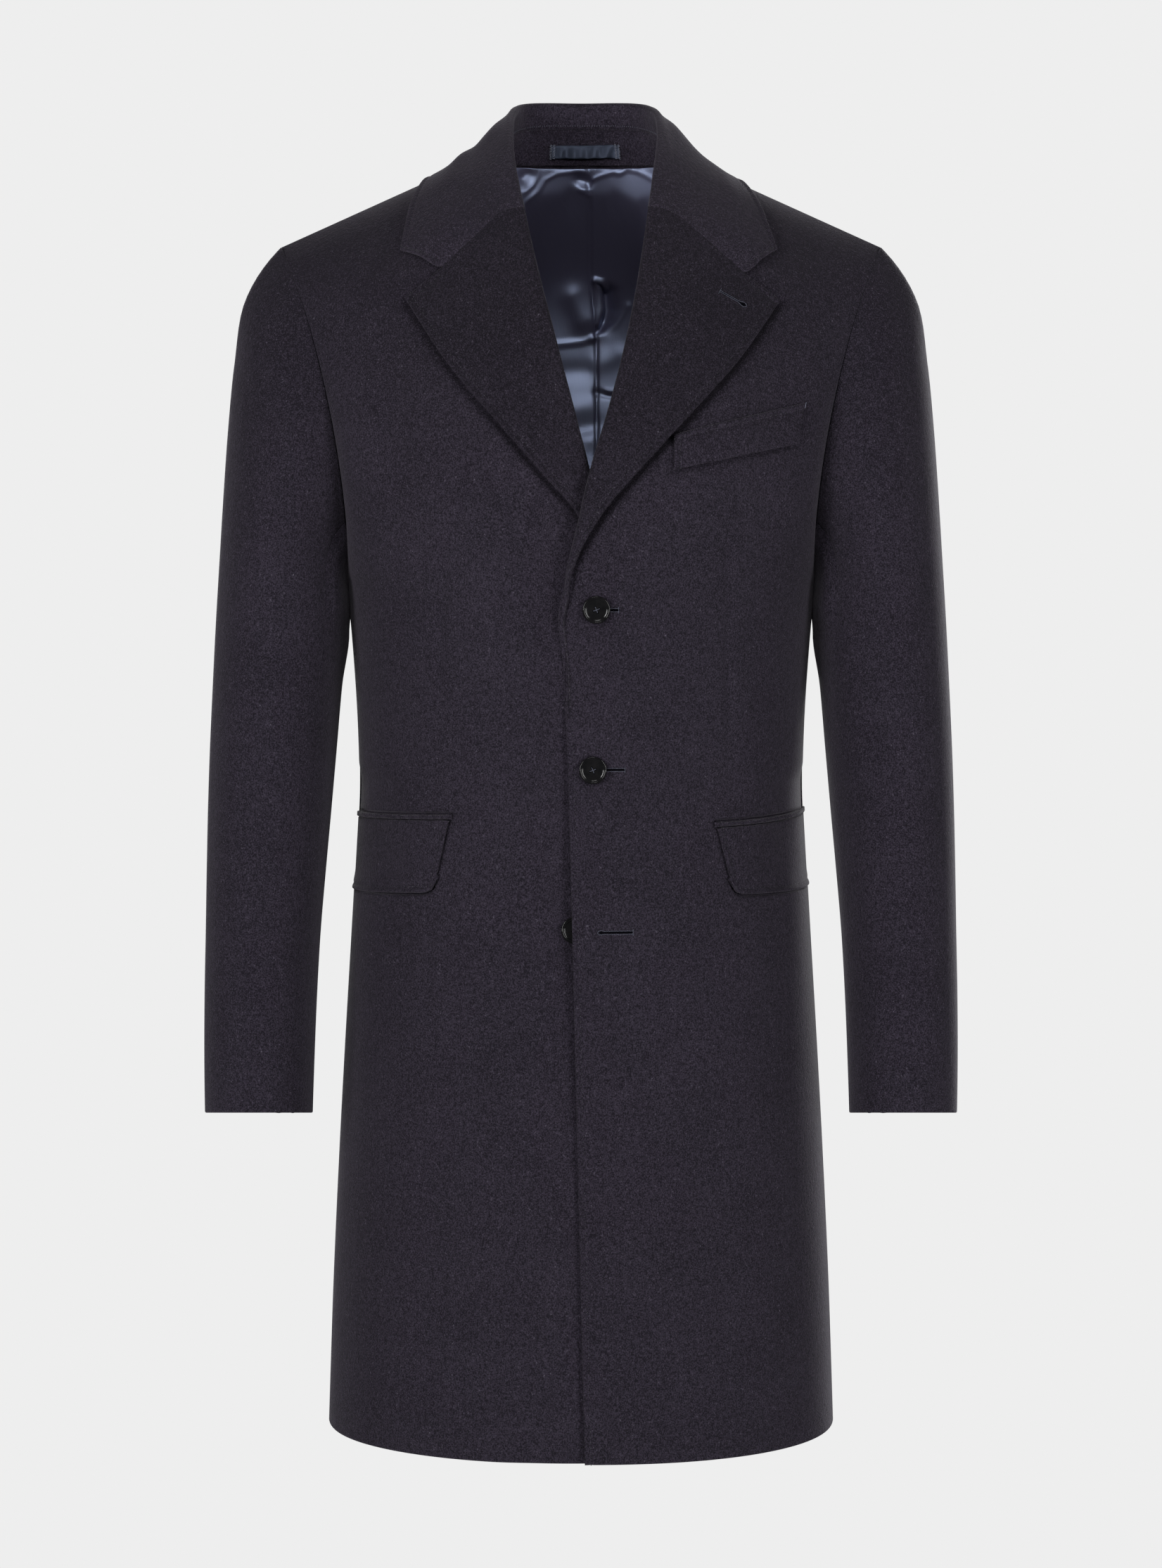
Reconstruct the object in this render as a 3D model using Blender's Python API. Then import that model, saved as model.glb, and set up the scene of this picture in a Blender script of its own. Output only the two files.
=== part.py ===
"""Single-breasted wool overcoat with notched lapels, filled out as if worn.

Metres. +X is the wearer's left, -Y the front, +Z up, and the origin is the middle of the neck's base.
Each cloth piece is a grid of outer points that is closed into a thin wall. Both halves are worked out
with x growing outwards from the middle of the coat, and the right half is then mirrored.
"""
import math
from types import SimpleNamespace

import bmesh
import bpy
import numpy as np
from mathutils import Vector
from mathutils.bvhtree import BVHTree
from mathutils.geometry import barycentric_transform

# Cloth
WOOL = 0.0025
SATIN = 0.0010
SEAM_GAP = 0.0003
LIE_GAP = 0.0012
FOLD_RADIUS = 0.0035

# Levels and places that several pieces share
HEM_Z = -0.968
BREAK_Z = -0.322
BREAK_STEP = 0.008
SIDE_Y = 0.020
NECK_POINT = (0.087, 0.018, 0.0004)
SHOULDER_POINT = (0.2287, 0.018, -0.0630)
BACK_NECK_POINT = (0.0, 0.0785, 0.0047)
NECK_BEND = ((0.45, 0.25, 0.35), (0.85, 0.62, 0.78))

# Grid sizes
LOWER_ROWS = 14
ROLL_ROWS = 9
NECK_ROWS = 3
UPPER_ROWS = ROLL_ROWS + NECK_ROWS
FRONT_COLUMNS = 11
BACK_COLUMNS = 10
BACK_NECK_COLUMNS = 3
GORGE_COLUMNS = 5
TIP_COLUMNS = 2
COLLAR_ROWS = 14
SLEEVE_COLUMNS = 2 * UPPER_ROWS
FOREARM_SEAM = 9
HINDARM_SEAM = 17
CAP_ROWS = 6
ARM_ROWS = 8

FOLD_ANGLES = np.radians((-90.0, -45.0, 0.0, 45.0, 90.0))
LAPEL_END_ANGLES = np.radians(np.append(np.linspace(-90.0, 50.0, 5), np.linspace(57.0, 90.0, 7)))
UP = np.array((0.0, 0.0, 1.0))


def table(names, *rows):
    """A short table as one array for each named column."""
    return SimpleNamespace(**dict(zip(names.split(), np.array(rows, float).T)))


# Rings of the body from hem to underarm, as a superellipse of the given fullness
BODY = table(
    "z half_width front_y back_y fullness",
    (-0.968, 0.1960, -0.135, 0.162, 2.20),
    (-0.860, 0.1921, -0.134, 0.158, 2.20),
    (-0.728, 0.1855, -0.132, 0.151, 2.20),
    (-0.597, 0.1776, -0.129, 0.140, 2.25),
    (-0.531, 0.1735, -0.127, 0.128, 2.30),
    (-0.466, 0.1703, -0.127, 0.115, 2.30),
    (-0.400, 0.1729, -0.131, 0.112, 2.30),
    (-0.352, 0.1761, -0.135, 0.117, 2.30),
    (-0.322, 0.1790, -0.137, 0.121, 2.30),
)

# Depth of the chest along the lapels' rolls, and of the back's middle seam, above the underarm
CHEST = table(
    "z y",
    (-0.322, -0.1370), (-0.260, -0.1365), (-0.200, -0.1320),
    (-0.140, -0.1180), (-0.090, -0.1000), (-0.040, -0.0780),
)
SPINE = table(
    "y z",
    (0.1210, -0.322), (0.1290, -0.250), (0.1310, -0.180), (0.1220, -0.100), (0.1000, -0.040),
    BACK_NECK_POINT[1:],
)

# Armhole from the underarm up to the shoulder point
ARMHOLE_FRONT = table(
    "x y z",
    (0.1790, SIDE_Y, BREAK_Z), (0.1767, -0.014, -0.307), (0.1768, -0.042, -0.268), (0.1830, -0.053, -0.215),
    (0.1935, -0.049, -0.163), (0.2080, -0.032, -0.112), (0.2210, -0.008, -0.079), SHOULDER_POINT,
)
ARMHOLE_BACK = table(
    "x y z",
    (0.1790, SIDE_Y, BREAK_Z), (0.1810, 0.052, -0.300), (0.1870, 0.074, -0.262), (0.1950, 0.084, -0.212),
    (0.2050, 0.082, -0.158), (0.2160, 0.067, -0.110), (0.2250, 0.044, -0.078), SHOULDER_POINT,
)
BACK_NECK = table(
    "x y z",
    BACK_NECK_POINT, (0.035, 0.0735, 0.0042), (0.067, 0.0525, 0.0028), NECK_POINT,
)

# Sleeve rings below the cap
SLEEVE = table(
    "z centre_x centre_y half_width half_depth",
    (-0.3514, 0.2280, 0.002, 0.0505, 0.0760),
    (-0.3996, 0.2317, -0.004, 0.0489, 0.0745),
    (-0.4638, 0.2356, -0.011, 0.0475, 0.0710),
    (-0.5278, 0.2391, -0.018, 0.0453, 0.0665),
    (-0.5916, 0.2420, -0.026, 0.0431, 0.0620),
    (-0.6552, 0.2438, -0.034, 0.0420, 0.0575),
    (-0.7200, 0.2444, -0.041, 0.0406, 0.0530),
)
SLEEVE_FULLNESS = 2.1
SLEEVE_GAP = 0.0006
CUFF_TILT = 0.155

# How the sleeve's cap leaves the armhole and comes down to the first ring, at four places round it
CAP = table(
    "leave_x leave_y leave_z arrive_x arrive_y arrive_z",
    (0.038, 0.000, -0.004, -0.010, 0.000, 0.150),
    (0.026, -0.020, -0.020, 0.000, 0.000, 0.090),
    (0.004, 0.000, -0.012, 0.001, 0.000, 0.012),
    (0.026, 0.020, -0.020, 0.000, 0.000, 0.090),
)

# How far the under front and its lapel lie behind the over front, by height
UNDERLAP = table(
    "z depth",
    (-0.968, 0.0036), (-0.680, 0.0038), (-0.572, 0.0078), (-0.480, 0.0040), (-0.390, 0.0038),
    (-0.322, 0.0090), (-0.235, 0.0095), (-0.150, 0.0050), (-0.040, 0.0000),
)
UNDERLAP_FULL_X = 0.0145
UNDERLAP_NONE_X = 0.0750
UNDERLAP_TURN = 0.0026
UNDERLAP_TURN_X = -0.0265

# The left half laps over the right one, so the two have their own lines at the front
LEFT = SimpleNamespace(
    name="left", sign=1, laps_under=False,
    edge=table("z x", (-0.968, 0.0029), (-0.572, -0.0064), (-0.330, -0.0125)),
    roll=table("x z", (-0.0125, -0.322), (0.0064, -0.2352), (0.0145, -0.2087), (0.0362, -0.1222),
               (0.0430, -0.0829), (0.0485, -0.0428)),
    lapel_edge=table("x z", (-0.0065, -0.3170), (-0.0003, -0.2937), (0.0104, -0.2728), (0.0298, -0.2489),
                     (0.0763, -0.1974), (0.1162, -0.1524), (0.1455, -0.1102)),
    gorge=table("x z", (0.0670, -0.0475), (0.0850, -0.0618), (0.1181, -0.0905)),
    collar_tip=(0.1447, -0.0711),
    fold=table("x y z", (0.0542, -0.052, -0.0087), (0.0583, -0.008, 0.0250), (0.0565, 0.032, 0.0425),
               (0.0450, 0.0640, 0.0510), (0.0230, 0.0795, 0.0534), (0.0, 0.0835, 0.0534)),
    collar_edge=table("x y z", (0.1447, -0.070, -0.0711), (0.1390, -0.038, -0.0460), (0.1305, -0.004, -0.0210),
                      (0.1205, 0.019, -0.0150), (0.1020, 0.036, -0.0185), (0.0800, 0.049, -0.0195),
                      (0.0560, 0.069, -0.0175), (0.0300, 0.0845, -0.0150), (0.0, 0.0880, -0.0135)),
    flap=table("x z", (0.0997, -0.4985), (0.1120, -0.5480)), flap_rear_z=-0.4950,
)
RIGHT = SimpleNamespace(
    name="right", sign=-1, laps_under=True,
    edge=table("z x", (-0.968, -0.0180), (-0.572, -0.0200), (-0.330, -0.0265)),
    roll=table("x z", (-0.0275, -0.322), (-0.0064, -0.2350), (0.0166, -0.1449), (0.0333, -0.0786),
               (0.0407, -0.0428)),
    lapel_edge=table("x z", (-0.0190, -0.3170), (-0.0090, -0.2890), (0.0018, -0.2677), (0.0191, -0.2484),
                     (0.0652, -0.1952), (0.1000, -0.1525), (0.1280, -0.1092)),
    gorge=table("x z", (0.0560, -0.0455), (0.0679, -0.0562), (0.1005, -0.0864)),
    collar_tip=(0.1327, -0.0722),
    fold=table("x y z", (0.0484, -0.052, -0.0087), (0.0519, -0.008, 0.0250), (0.0515, 0.032, 0.0425),
               (0.0430, 0.0640, 0.0510), (0.0225, 0.0795, 0.0534), (0.0, 0.0835, 0.0534)),
    collar_edge=table("x y z", (0.1327, -0.070, -0.0722), (0.1295, -0.038, -0.0460), (0.1245, -0.004, -0.0185),
                      (0.1165, 0.019, -0.0130), (0.1000, 0.036, -0.0180), (0.0795, 0.049, -0.0195),
                      (0.0560, 0.069, -0.0175), (0.0300, 0.0845, -0.0150), (0.0, 0.0880, -0.0135)),
    flap=table("x z", (0.0966, -0.4928), (0.1080, -0.5465)), flap_rear_z=-0.4985,
)

# Pockets
FLAP_REAR = 0.965
FLAP_DEPTH = 0.0545
FLAP_COLUMNS = 8
FLAP_ROWS = 3
JET_HEIGHT = 0.0050
JET_THICKNESS = 0.0018
JET_OVERHANG = 0.0020
WELT_LOWER = ((0.0672, -0.2350), (0.1588, -0.2149))
WELT_UPPER = ((0.0672, -0.2094), (0.1637, -0.1854))
WELT_COLUMNS = 6
WELT_ROWS = 2

# Buttons, with the third one on the under front
BUTTON_PROFILE = table(
    "radius height",
    (0.0, 0.0), (0.0072, 0.0), (0.0097, 0.0010), (0.0102, 0.0021), (0.0097, 0.0033), (0.0086, 0.0036),
    (0.0076, 0.0027), (0.0, 0.0023),
)
BUTTON_SEGMENTS = 24
BUTTON_HOLE_RADIUS = 0.0009
BUTTON_HOLE_PLACE = 0.0015
BUTTON_HOLE_SIDES = 6
BUTTON_GAP = 0.0004
BUTTONS = (("button_1", "left", 0.0110, -0.3365), ("button_2", "left", 0.0085, -0.4539),
           ("button_3", "right", 0.0044, -0.5724))

# Hanger loop on the collar's stand, and the back lining
LOOP_X = (-0.0249, 0.0325)
LOOP_Z = (0.0087, 0.0196)
LOOP_BOW = 0.0022
LOOP_COLUMNS = 8
LINING_HEM_ROW = 10
LINING_LIFT = 0.0008

# Collar
STAND_START_ROW = 2
COLLAR_INNER = (0.0036, 0.0225)
COLLAR_INNER_COLUMNS = 4
COLLAR_BLEND_ROWS = 5
COLLAR_CLEARANCE = 0.0022
RIDGE_LIFT = 0.0008
RIDGE_REACH = 0.028
COLLAR_SMOOTHING = 3
PAST_EDGE = 0.9
FALL_LEAN = math.radians(50.0)
LEAN_REACH = 0.030
LAPEL_SETTLE = 0.040
LAPEL_CLEARANCE = 0.0010

# Finishes: base colour and roughness
FINISHES = {
    "wool": ((0.017, 0.016, 0.026, 1.0), 0.95),
    "satin": ((0.105, 0.125, 0.215, 1.0), 0.35),
    "button": ((0.012, 0.012, 0.014, 1.0), 0.22),
}


def unit(vectors):
    """Vectors of length one."""
    vectors = np.asarray(vectors, float)
    return vectors / np.linalg.norm(vectors, axis=-1, keepdims=True)


def mix(first, second, share):
    """The point that lies a share of the way from the first to the second."""
    return np.asarray(first) + (np.asarray(second) - np.asarray(first)) * share


def ease(share):
    """A share from 0 to 1 that starts and ends level."""
    share = np.clip(share, 0.0, 1.0)
    return share * share * (3.0 - 2.0 * share)


def smooth(knots, values, places):
    """A cubic curve through the values at the knots, read at other places."""
    knots, values, places = (np.asarray(given, float) for given in (knots, values, places))
    slopes = np.gradient(values, knots, axis=0)
    start = np.clip(np.searchsorted(knots, places, side="right") - 1, 0, len(knots) - 2)
    width = knots[start + 1] - knots[start]
    share = (places - knots[start]) / width
    if values.ndim > 1:
        width, share = width[..., None], share[..., None]
    rest = 1.0 - share
    level = mix(values[start], values[start + 1], share ** 2 * (3.0 - 2.0 * share))
    return level + width * share * rest * (rest * slopes[start] - share * slopes[start + 1])


def lengths(points):
    """Distance along a line of points."""
    return np.concatenate(([0.0], np.cumsum(np.linalg.norm(np.diff(points, axis=0), axis=1))))


def even(points, count):
    """A line of points as count steps of equal length."""
    points = np.asarray(points, float)
    along = lengths(points)
    places = np.linspace(0.0, along[-1], count + 1)
    return np.column_stack([np.interp(places, along, axis) for axis in points.T])


def curve(points, count):
    """A smooth line through the points as count steps of equal length."""
    points = np.asarray(points, float)
    along = lengths(points)
    return even(smooth(along, points, np.linspace(0.0, along[-1], 30 * len(points))), count)


def stacked(rows, *names):
    """Columns of a table as an array of points."""
    return np.column_stack([getattr(rows, name) for name in names])


def arc_row(inner, outer, fullness, columns):
    """A quarter of a superellipse that leaves the inner point sideways and meets the outer one end on."""
    angle = np.linspace(0.0, math.pi / 2, 61)
    across = np.sin(angle) ** (2.0 / fullness)
    back = 1.0 - np.cos(angle) ** (2.0 / fullness)
    share = np.column_stack((across, back, across))
    return even(mix(inner, outer, share), columns)


def normals_of(grid):
    """Outward unit normals at the points of a grid."""
    along_rows = np.gradient(grid, axis=0)
    along_columns = np.gradient(grid, axis=1)
    return unit(np.cross(along_columns, along_rows))


def mirrored(grid):
    """A grid on the other half of the coat."""
    return (grid * (-1.0, 1.0, 1.0))[:, ::-1]


def pulled(grid, row=None, column=None, distance=SEAM_GAP / 2):
    """A grid whose first or last row or column is drawn in from its seam."""
    grid = grid.copy()
    if row is not None:
        beside = grid[1 if row == 0 else row - 1]
        grid[row] += unit(beside - grid[row]) * distance
    if column is not None:
        beside = grid[:, 1 if column == 0 else column - 1]
        grid[:, column] += unit(beside - grid[:, column]) * distance
    return grid


class Surface:
    """Outer faces of some panels, for laying other pieces on them."""

    def __init__(self, *grids):
        self.points, self.normals, self.faces = [], [], []
        for grid in grids:
            start = len(self.points)
            rows, columns = grid.shape[:2]
            self.points += [Vector(point) for point in grid.reshape(-1, 3)]
            self.normals += [Vector(normal) for normal in normals_of(grid).reshape(-1, 3)]
            for corner in (start + r * columns + c for r in range(rows - 1) for c in range(columns - 1)):
                opposite = corner + columns + 1
                self.faces += [(corner, corner + 1, opposite), (corner, opposite, corner + columns)]
        self.tree = BVHTree.FromPolygons(self.points, self.faces)

    def lifted(self, place, face, lift):
        """A point moved out from a face along the panel's smooth normal."""
        ids = self.faces[face]
        corners, normals = ([kept[i] for i in ids] for kept in (self.points, self.normals))
        normal = barycentric_transform(place, *corners, *normals)
        return np.array(place + normal.normalized() * lift)

    def from_front(self, x, z, lift):
        """The panel's point behind a place in the front view, moved out."""
        place, _, face, _ = self.tree.ray_cast(Vector((x, -1.0, z)), Vector((0.0, 1.0, 0.0)))
        return self.lifted(place, face, lift)

    def nearest(self, point, lift):
        """The panel's nearest point, moved out."""
        place, _, face, _ = self.tree.find_nearest(Vector(point))
        return self.lifted(place, face, lift)

    def shortfall(self, point, lift):
        """How much nearer to the panel than the lift a point is. A point past the panel's edge is clear."""
        place, normal, _, _ = self.tree.find_nearest(Vector(point))
        offset = Vector(point) - place
        height = offset.dot(normal)
        past_edge = offset.length > lift and abs(height) < PAST_EDGE * offset.length
        return 0.0 if past_edge else max(lift - height, 0.0)


def finish(name):
    """The material of the given name."""
    if name in bpy.data.materials:
        return bpy.data.materials[name]
    colour, roughness = FINISHES[name]
    material = bpy.data.materials.new(name)
    material.use_nodes = True
    shader = material.node_tree.nodes["Principled BSDF"]
    shader.inputs["Base Color"].default_value = colour
    shader.inputs["Roughness"].default_value = roughness
    shader.inputs["Metallic"].default_value = 0.0
    material.diffuse_color = colour
    return material


def add_object(name, mesh, material):
    """A named object with its finish, shaded smooth."""
    item = bpy.data.objects.new(name, mesh)
    bpy.context.scene.collection.objects.link(item)
    mesh.materials.append(finish(material))
    mesh.shade_smooth()
    mesh.set_sharp_from_angle(angle=math.radians(50))
    return item


def wall(name, grid, thickness, material, normals=None):
    """A piece of cloth: the grid's outer points, the same points moved in, and the rims between them."""
    rows, columns = grid.shape[:2]
    inner = grid - (normals_of(grid) if normals is None else normals) * thickness
    body = bmesh.new()
    outside = [[body.verts.new(point) for point in row] for row in grid]
    inside = [[body.verts.new(point) for point in row] for row in inner]
    for r in range(rows - 1):
        for c in range(columns - 1):
            body.faces.new((outside[r][c], outside[r][c + 1], outside[r + 1][c + 1], outside[r + 1][c]))
            body.faces.new((inside[r][c], inside[r + 1][c], inside[r + 1][c + 1], inside[r][c + 1]))
    last_row, last_column = rows - 1, columns - 1
    rim = [(0, c) for c in range(last_column)] + [(r, last_column) for r in range(last_row)]
    rim += [(last_row, c) for c in range(last_column, 0, -1)] + [(r, 0) for r in range(last_row, 0, -1)]
    for (r, c), (r_next, c_next) in zip(rim, rim[1:] + rim[:1]):
        body.faces.new((outside[r][c], inside[r][c], inside[r_next][c_next], outside[r_next][c_next]))
    mesh = bpy.data.meshes.new(name)
    body.to_mesh(mesh)
    body.free()
    return add_object(name, mesh, material)


def on_side(side, grid):
    """A half's grid in its true place."""
    return grid if side.sign > 0 else mirrored(grid)


def lower_levels():
    """Heights of the rows from the hem to the underarm, with a close pair where the lapel begins."""
    return np.append(np.linspace(HEM_Z, BREAK_Z - BREAK_STEP, LOWER_ROWS), BREAK_Z)


def lower_rows(inner_x, inner_y, columns):
    """Rows of a panel from its middle edge round to the side seam."""
    levels = lower_levels()
    width = smooth(BODY.z, BODY.half_width, levels)
    fullness = smooth(BODY.z, BODY.fullness, levels)
    return [
        arc_row((x, y, z), (w, SIDE_Y, z), n, columns)
        for x, y, z, w, n in zip(inner_x, inner_y, levels, width, fullness)
    ]


def upper_rows(inner, armhole, columns):
    """Rows of a panel from its middle edge to the armhole, straighter towards the shoulder seam."""
    outer = curve(stacked(armhole, "x", "y", "z"), UPPER_ROWS)
    fullness = np.linspace(BODY.fullness[-1], 1.0, UPPER_ROWS + 1)
    return [arc_row(a, b, n, columns) for a, b, n in zip(inner[1:], outer[1:], fullness[1:])]


def front_middle(side):
    """The front's middle edge above the break: beside the lapel's roll, then up the neck."""
    roll = curve(stacked(side.roll, "x", "z"), ROLL_ROWS)
    along = unit(np.gradient(roll, axis=0))
    beside = roll + np.column_stack((along[:, 1], -along[:, 0])) * (FOLD_RADIUS + SEAM_GAP)
    depth = smooth(CHEST.z, CHEST.y, beside[:, 1])
    line = np.column_stack((beside[:, 0], depth, beside[:, 1]))
    line[0] = (roll[0, 0] + FOLD_RADIUS + SEAM_GAP, CHEST.y[0], BREAK_Z)
    neck = [mix(line[-1], NECK_POINT, share) for share in NECK_BEND]
    return np.vstack((line, curve((line[-1], *neck, NECK_POINT), NECK_ROWS)[1:]))


def front_panel(side):
    """One front with its side, from the front edge to the side seam and the armhole."""
    levels = lower_levels()
    middle = front_middle(side)
    edge_x = np.interp(levels, side.edge.z, side.edge.x)
    edge_x[-1] = middle[0, 0]
    rows = lower_rows(edge_x, smooth(BODY.z, BODY.front_y, levels), FRONT_COLUMNS)
    rows += upper_rows(middle, ARMHOLE_FRONT, FRONT_COLUMNS)
    grid = np.array(rows)
    if side.laps_under:
        x, height = grid[..., 0], np.clip(grid[..., 2], UNDERLAP.z[0], UNDERLAP.z[-1])
        near = ease((UNDERLAP_NONE_X - x) / (UNDERLAP_NONE_X - UNDERLAP_FULL_X))
        inmost = ease((UNDERLAP_FULL_X - x) / (UNDERLAP_FULL_X - UNDERLAP_TURN_X))
        grid[..., 1] += near * smooth(UNDERLAP.z, UNDERLAP.depth, height) + inmost * UNDERLAP_TURN
    return pulled(pulled(grid, column=FRONT_COLUMNS), row=len(grid) - 1)


def back_panel():
    """Half the back, from its middle seam to the side seam and the armhole, with the neck and shoulder on top."""
    levels = lower_levels()
    rows = lower_rows(np.zeros_like(levels), smooth(BODY.z, BODY.back_y, levels), BACK_COLUMNS)
    spine = curve(stacked(SPINE, "y", "z"), UPPER_ROWS)
    upper = upper_rows(np.insert(spine, 0, 0.0, axis=1), ARMHOLE_BACK, BACK_COLUMNS)
    shoulder = even((NECK_POINT, SHOULDER_POINT), BACK_COLUMNS - BACK_NECK_COLUMNS)
    top = np.vstack((curve(stacked(BACK_NECK, "x", "y", "z"), BACK_NECK_COLUMNS), shoulder[1:]))
    change = top - upper[-1]
    rows += [row + change * (r / UPPER_ROWS) ** 4 for r, row in enumerate(upper, start=1)]
    grid = pulled(pulled(pulled(np.array(rows), column=BACK_COLUMNS), column=0), row=len(rows) - 1)
    return grid[:, ::-1]


def shoulder_normal():
    """The direction that both panels share along the shoulder seam."""
    seam = np.subtract(SHOULDER_POINT, NECK_POINT)
    return unit((-seam[2], 0.0, seam[0]))


def front_wall(side, grid):
    """The solid of a front panel."""
    normals = normals_of(grid)
    normals[:LOWER_ROWS + 1, -1, 1] = 0.0
    normals[-1] = shoulder_normal()
    normals = unit(normals)
    wall(f"front_{side.name}", on_side(side, grid), WOOL, "wool", on_side(side, normals))


def back_normals(grid):
    """Normals of half the back, which agree with its neighbours' along the seams."""
    normals = normals_of(grid)
    normals[:LOWER_ROWS + 1, 0, 1] = 0.0
    normals[:, -1, 0] = 0.0
    normals[-1, :BACK_COLUMNS - BACK_NECK_COLUMNS + 1] = shoulder_normal()
    return unit(normals)


def back_wall(side, grid):
    """The solid of half the back."""
    wall(f"back_{side.name}", on_side(side, grid), WOOL, "wool", on_side(side, back_normals(grid)))


def lapel_grid(side, front, surface):
    """A lapel and its normals: round the roll from the front's inner face, then out over the front."""
    flat_columns = GORGE_COLUMNS + TIP_COLUMNS
    roll = slice(LOWER_ROWS, LOWER_ROWS + ROLL_ROWS + 1)
    across = unit(front[roll, 0] - front[roll, 1])
    normal = normals_of(front)[roll, 0]
    across = unit(across - normal * np.sum(across * normal, axis=1, keepdims=True))
    centre = front[roll, 0] + across * SEAM_GAP + normal * (FOLD_RADIUS - WOOL)
    edge = curve(stacked(side.lapel_edge, "x", "z"), ROLL_ROWS)
    share = np.linspace(0.0, 1.0, flat_columns + 1)[:, None]
    fold_end = (centre + normal * FOLD_RADIUS)[:, ::2]
    gorge = curve(np.vstack((fold_end[-1], stacked(side.gorge, "x", "z"))), GORGE_COLUMNS)
    top = np.vstack((gorge, even((gorge[-1], edge[-1]), TIP_COLUMNS)[1:]))
    change = top - mix(fold_end[-1], edge[-1], share)
    rows, fold_normals = [], []
    for r in range(ROLL_ROWS + 1):
        angles = FOLD_ANGLES if r else LAPEL_END_ANGLES
        radial = np.outer(np.cos(angles), across[r]) + np.outer(np.sin(angles), normal[r])
        row = [*(centre[r] + FOLD_RADIUS * radial)]
        if r:
            flat = mix(fold_end[r], edge[r], share) + change * (r / ROLL_ROWS) ** 2
            settled = ease(np.linalg.norm(flat - flat[0], axis=1) / LAPEL_SETTLE)
            lifts = mix(2.0 * FOLD_RADIUS - WOOL, LIE_GAP + WOOL + LAPEL_CLEARANCE, settled)
            row += [surface.from_front(x, z, lift) for (x, z), lift in zip(flat[1:], lifts[1:])]
        rows.append(row)
        fold_normals.append(radial)
    grid = np.array(rows)
    normals = normals_of(grid)
    for r, radial in enumerate(fold_normals):
        normals[r, :len(radial)] = radial
    return grid, normals


def bezier(points, count):
    """A cubic Bezier line as count steps of equal length."""
    share = np.linspace(0.0, 1.0, 41)[:, None]
    rest = 1.0 - share
    start, leave, arrive, end = (np.asarray(point) for point in points)
    ends = rest ** 3 * start + share ** 3 * end
    return even(ends + 3.0 * rest * share * (rest * leave + share * arrive), count)


def collar_roll(lapel, side):
    """The collar's roll line from the gorge to the middle of the back, with its three directions."""
    top = len(FOLD_ANGLES) // 2
    front_up = unit(lapel[-1, top] - (lapel[-1, 0] + lapel[-1, len(FOLD_ANGLES) - 1]) / 2)
    line = curve(np.vstack((lapel[-1, top], stacked(side.fold, "x", "y", "z"))), COLLAR_ROWS)
    along = unit(np.gradient(line, axis=0))
    along[-1] = (-1.0, 0.0, 0.0)
    line[0] += along[0] * SEAM_GAP * 1.5
    turn = ease(np.linspace(0.0, 1.0, COLLAR_ROWS + 1) ** 0.85)[:, None]
    up = mix(front_up, UP, turn)
    up = unit(up - along * np.sum(up * along, axis=1, keepdims=True))
    return line, along, up, np.cross(along, up)


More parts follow.
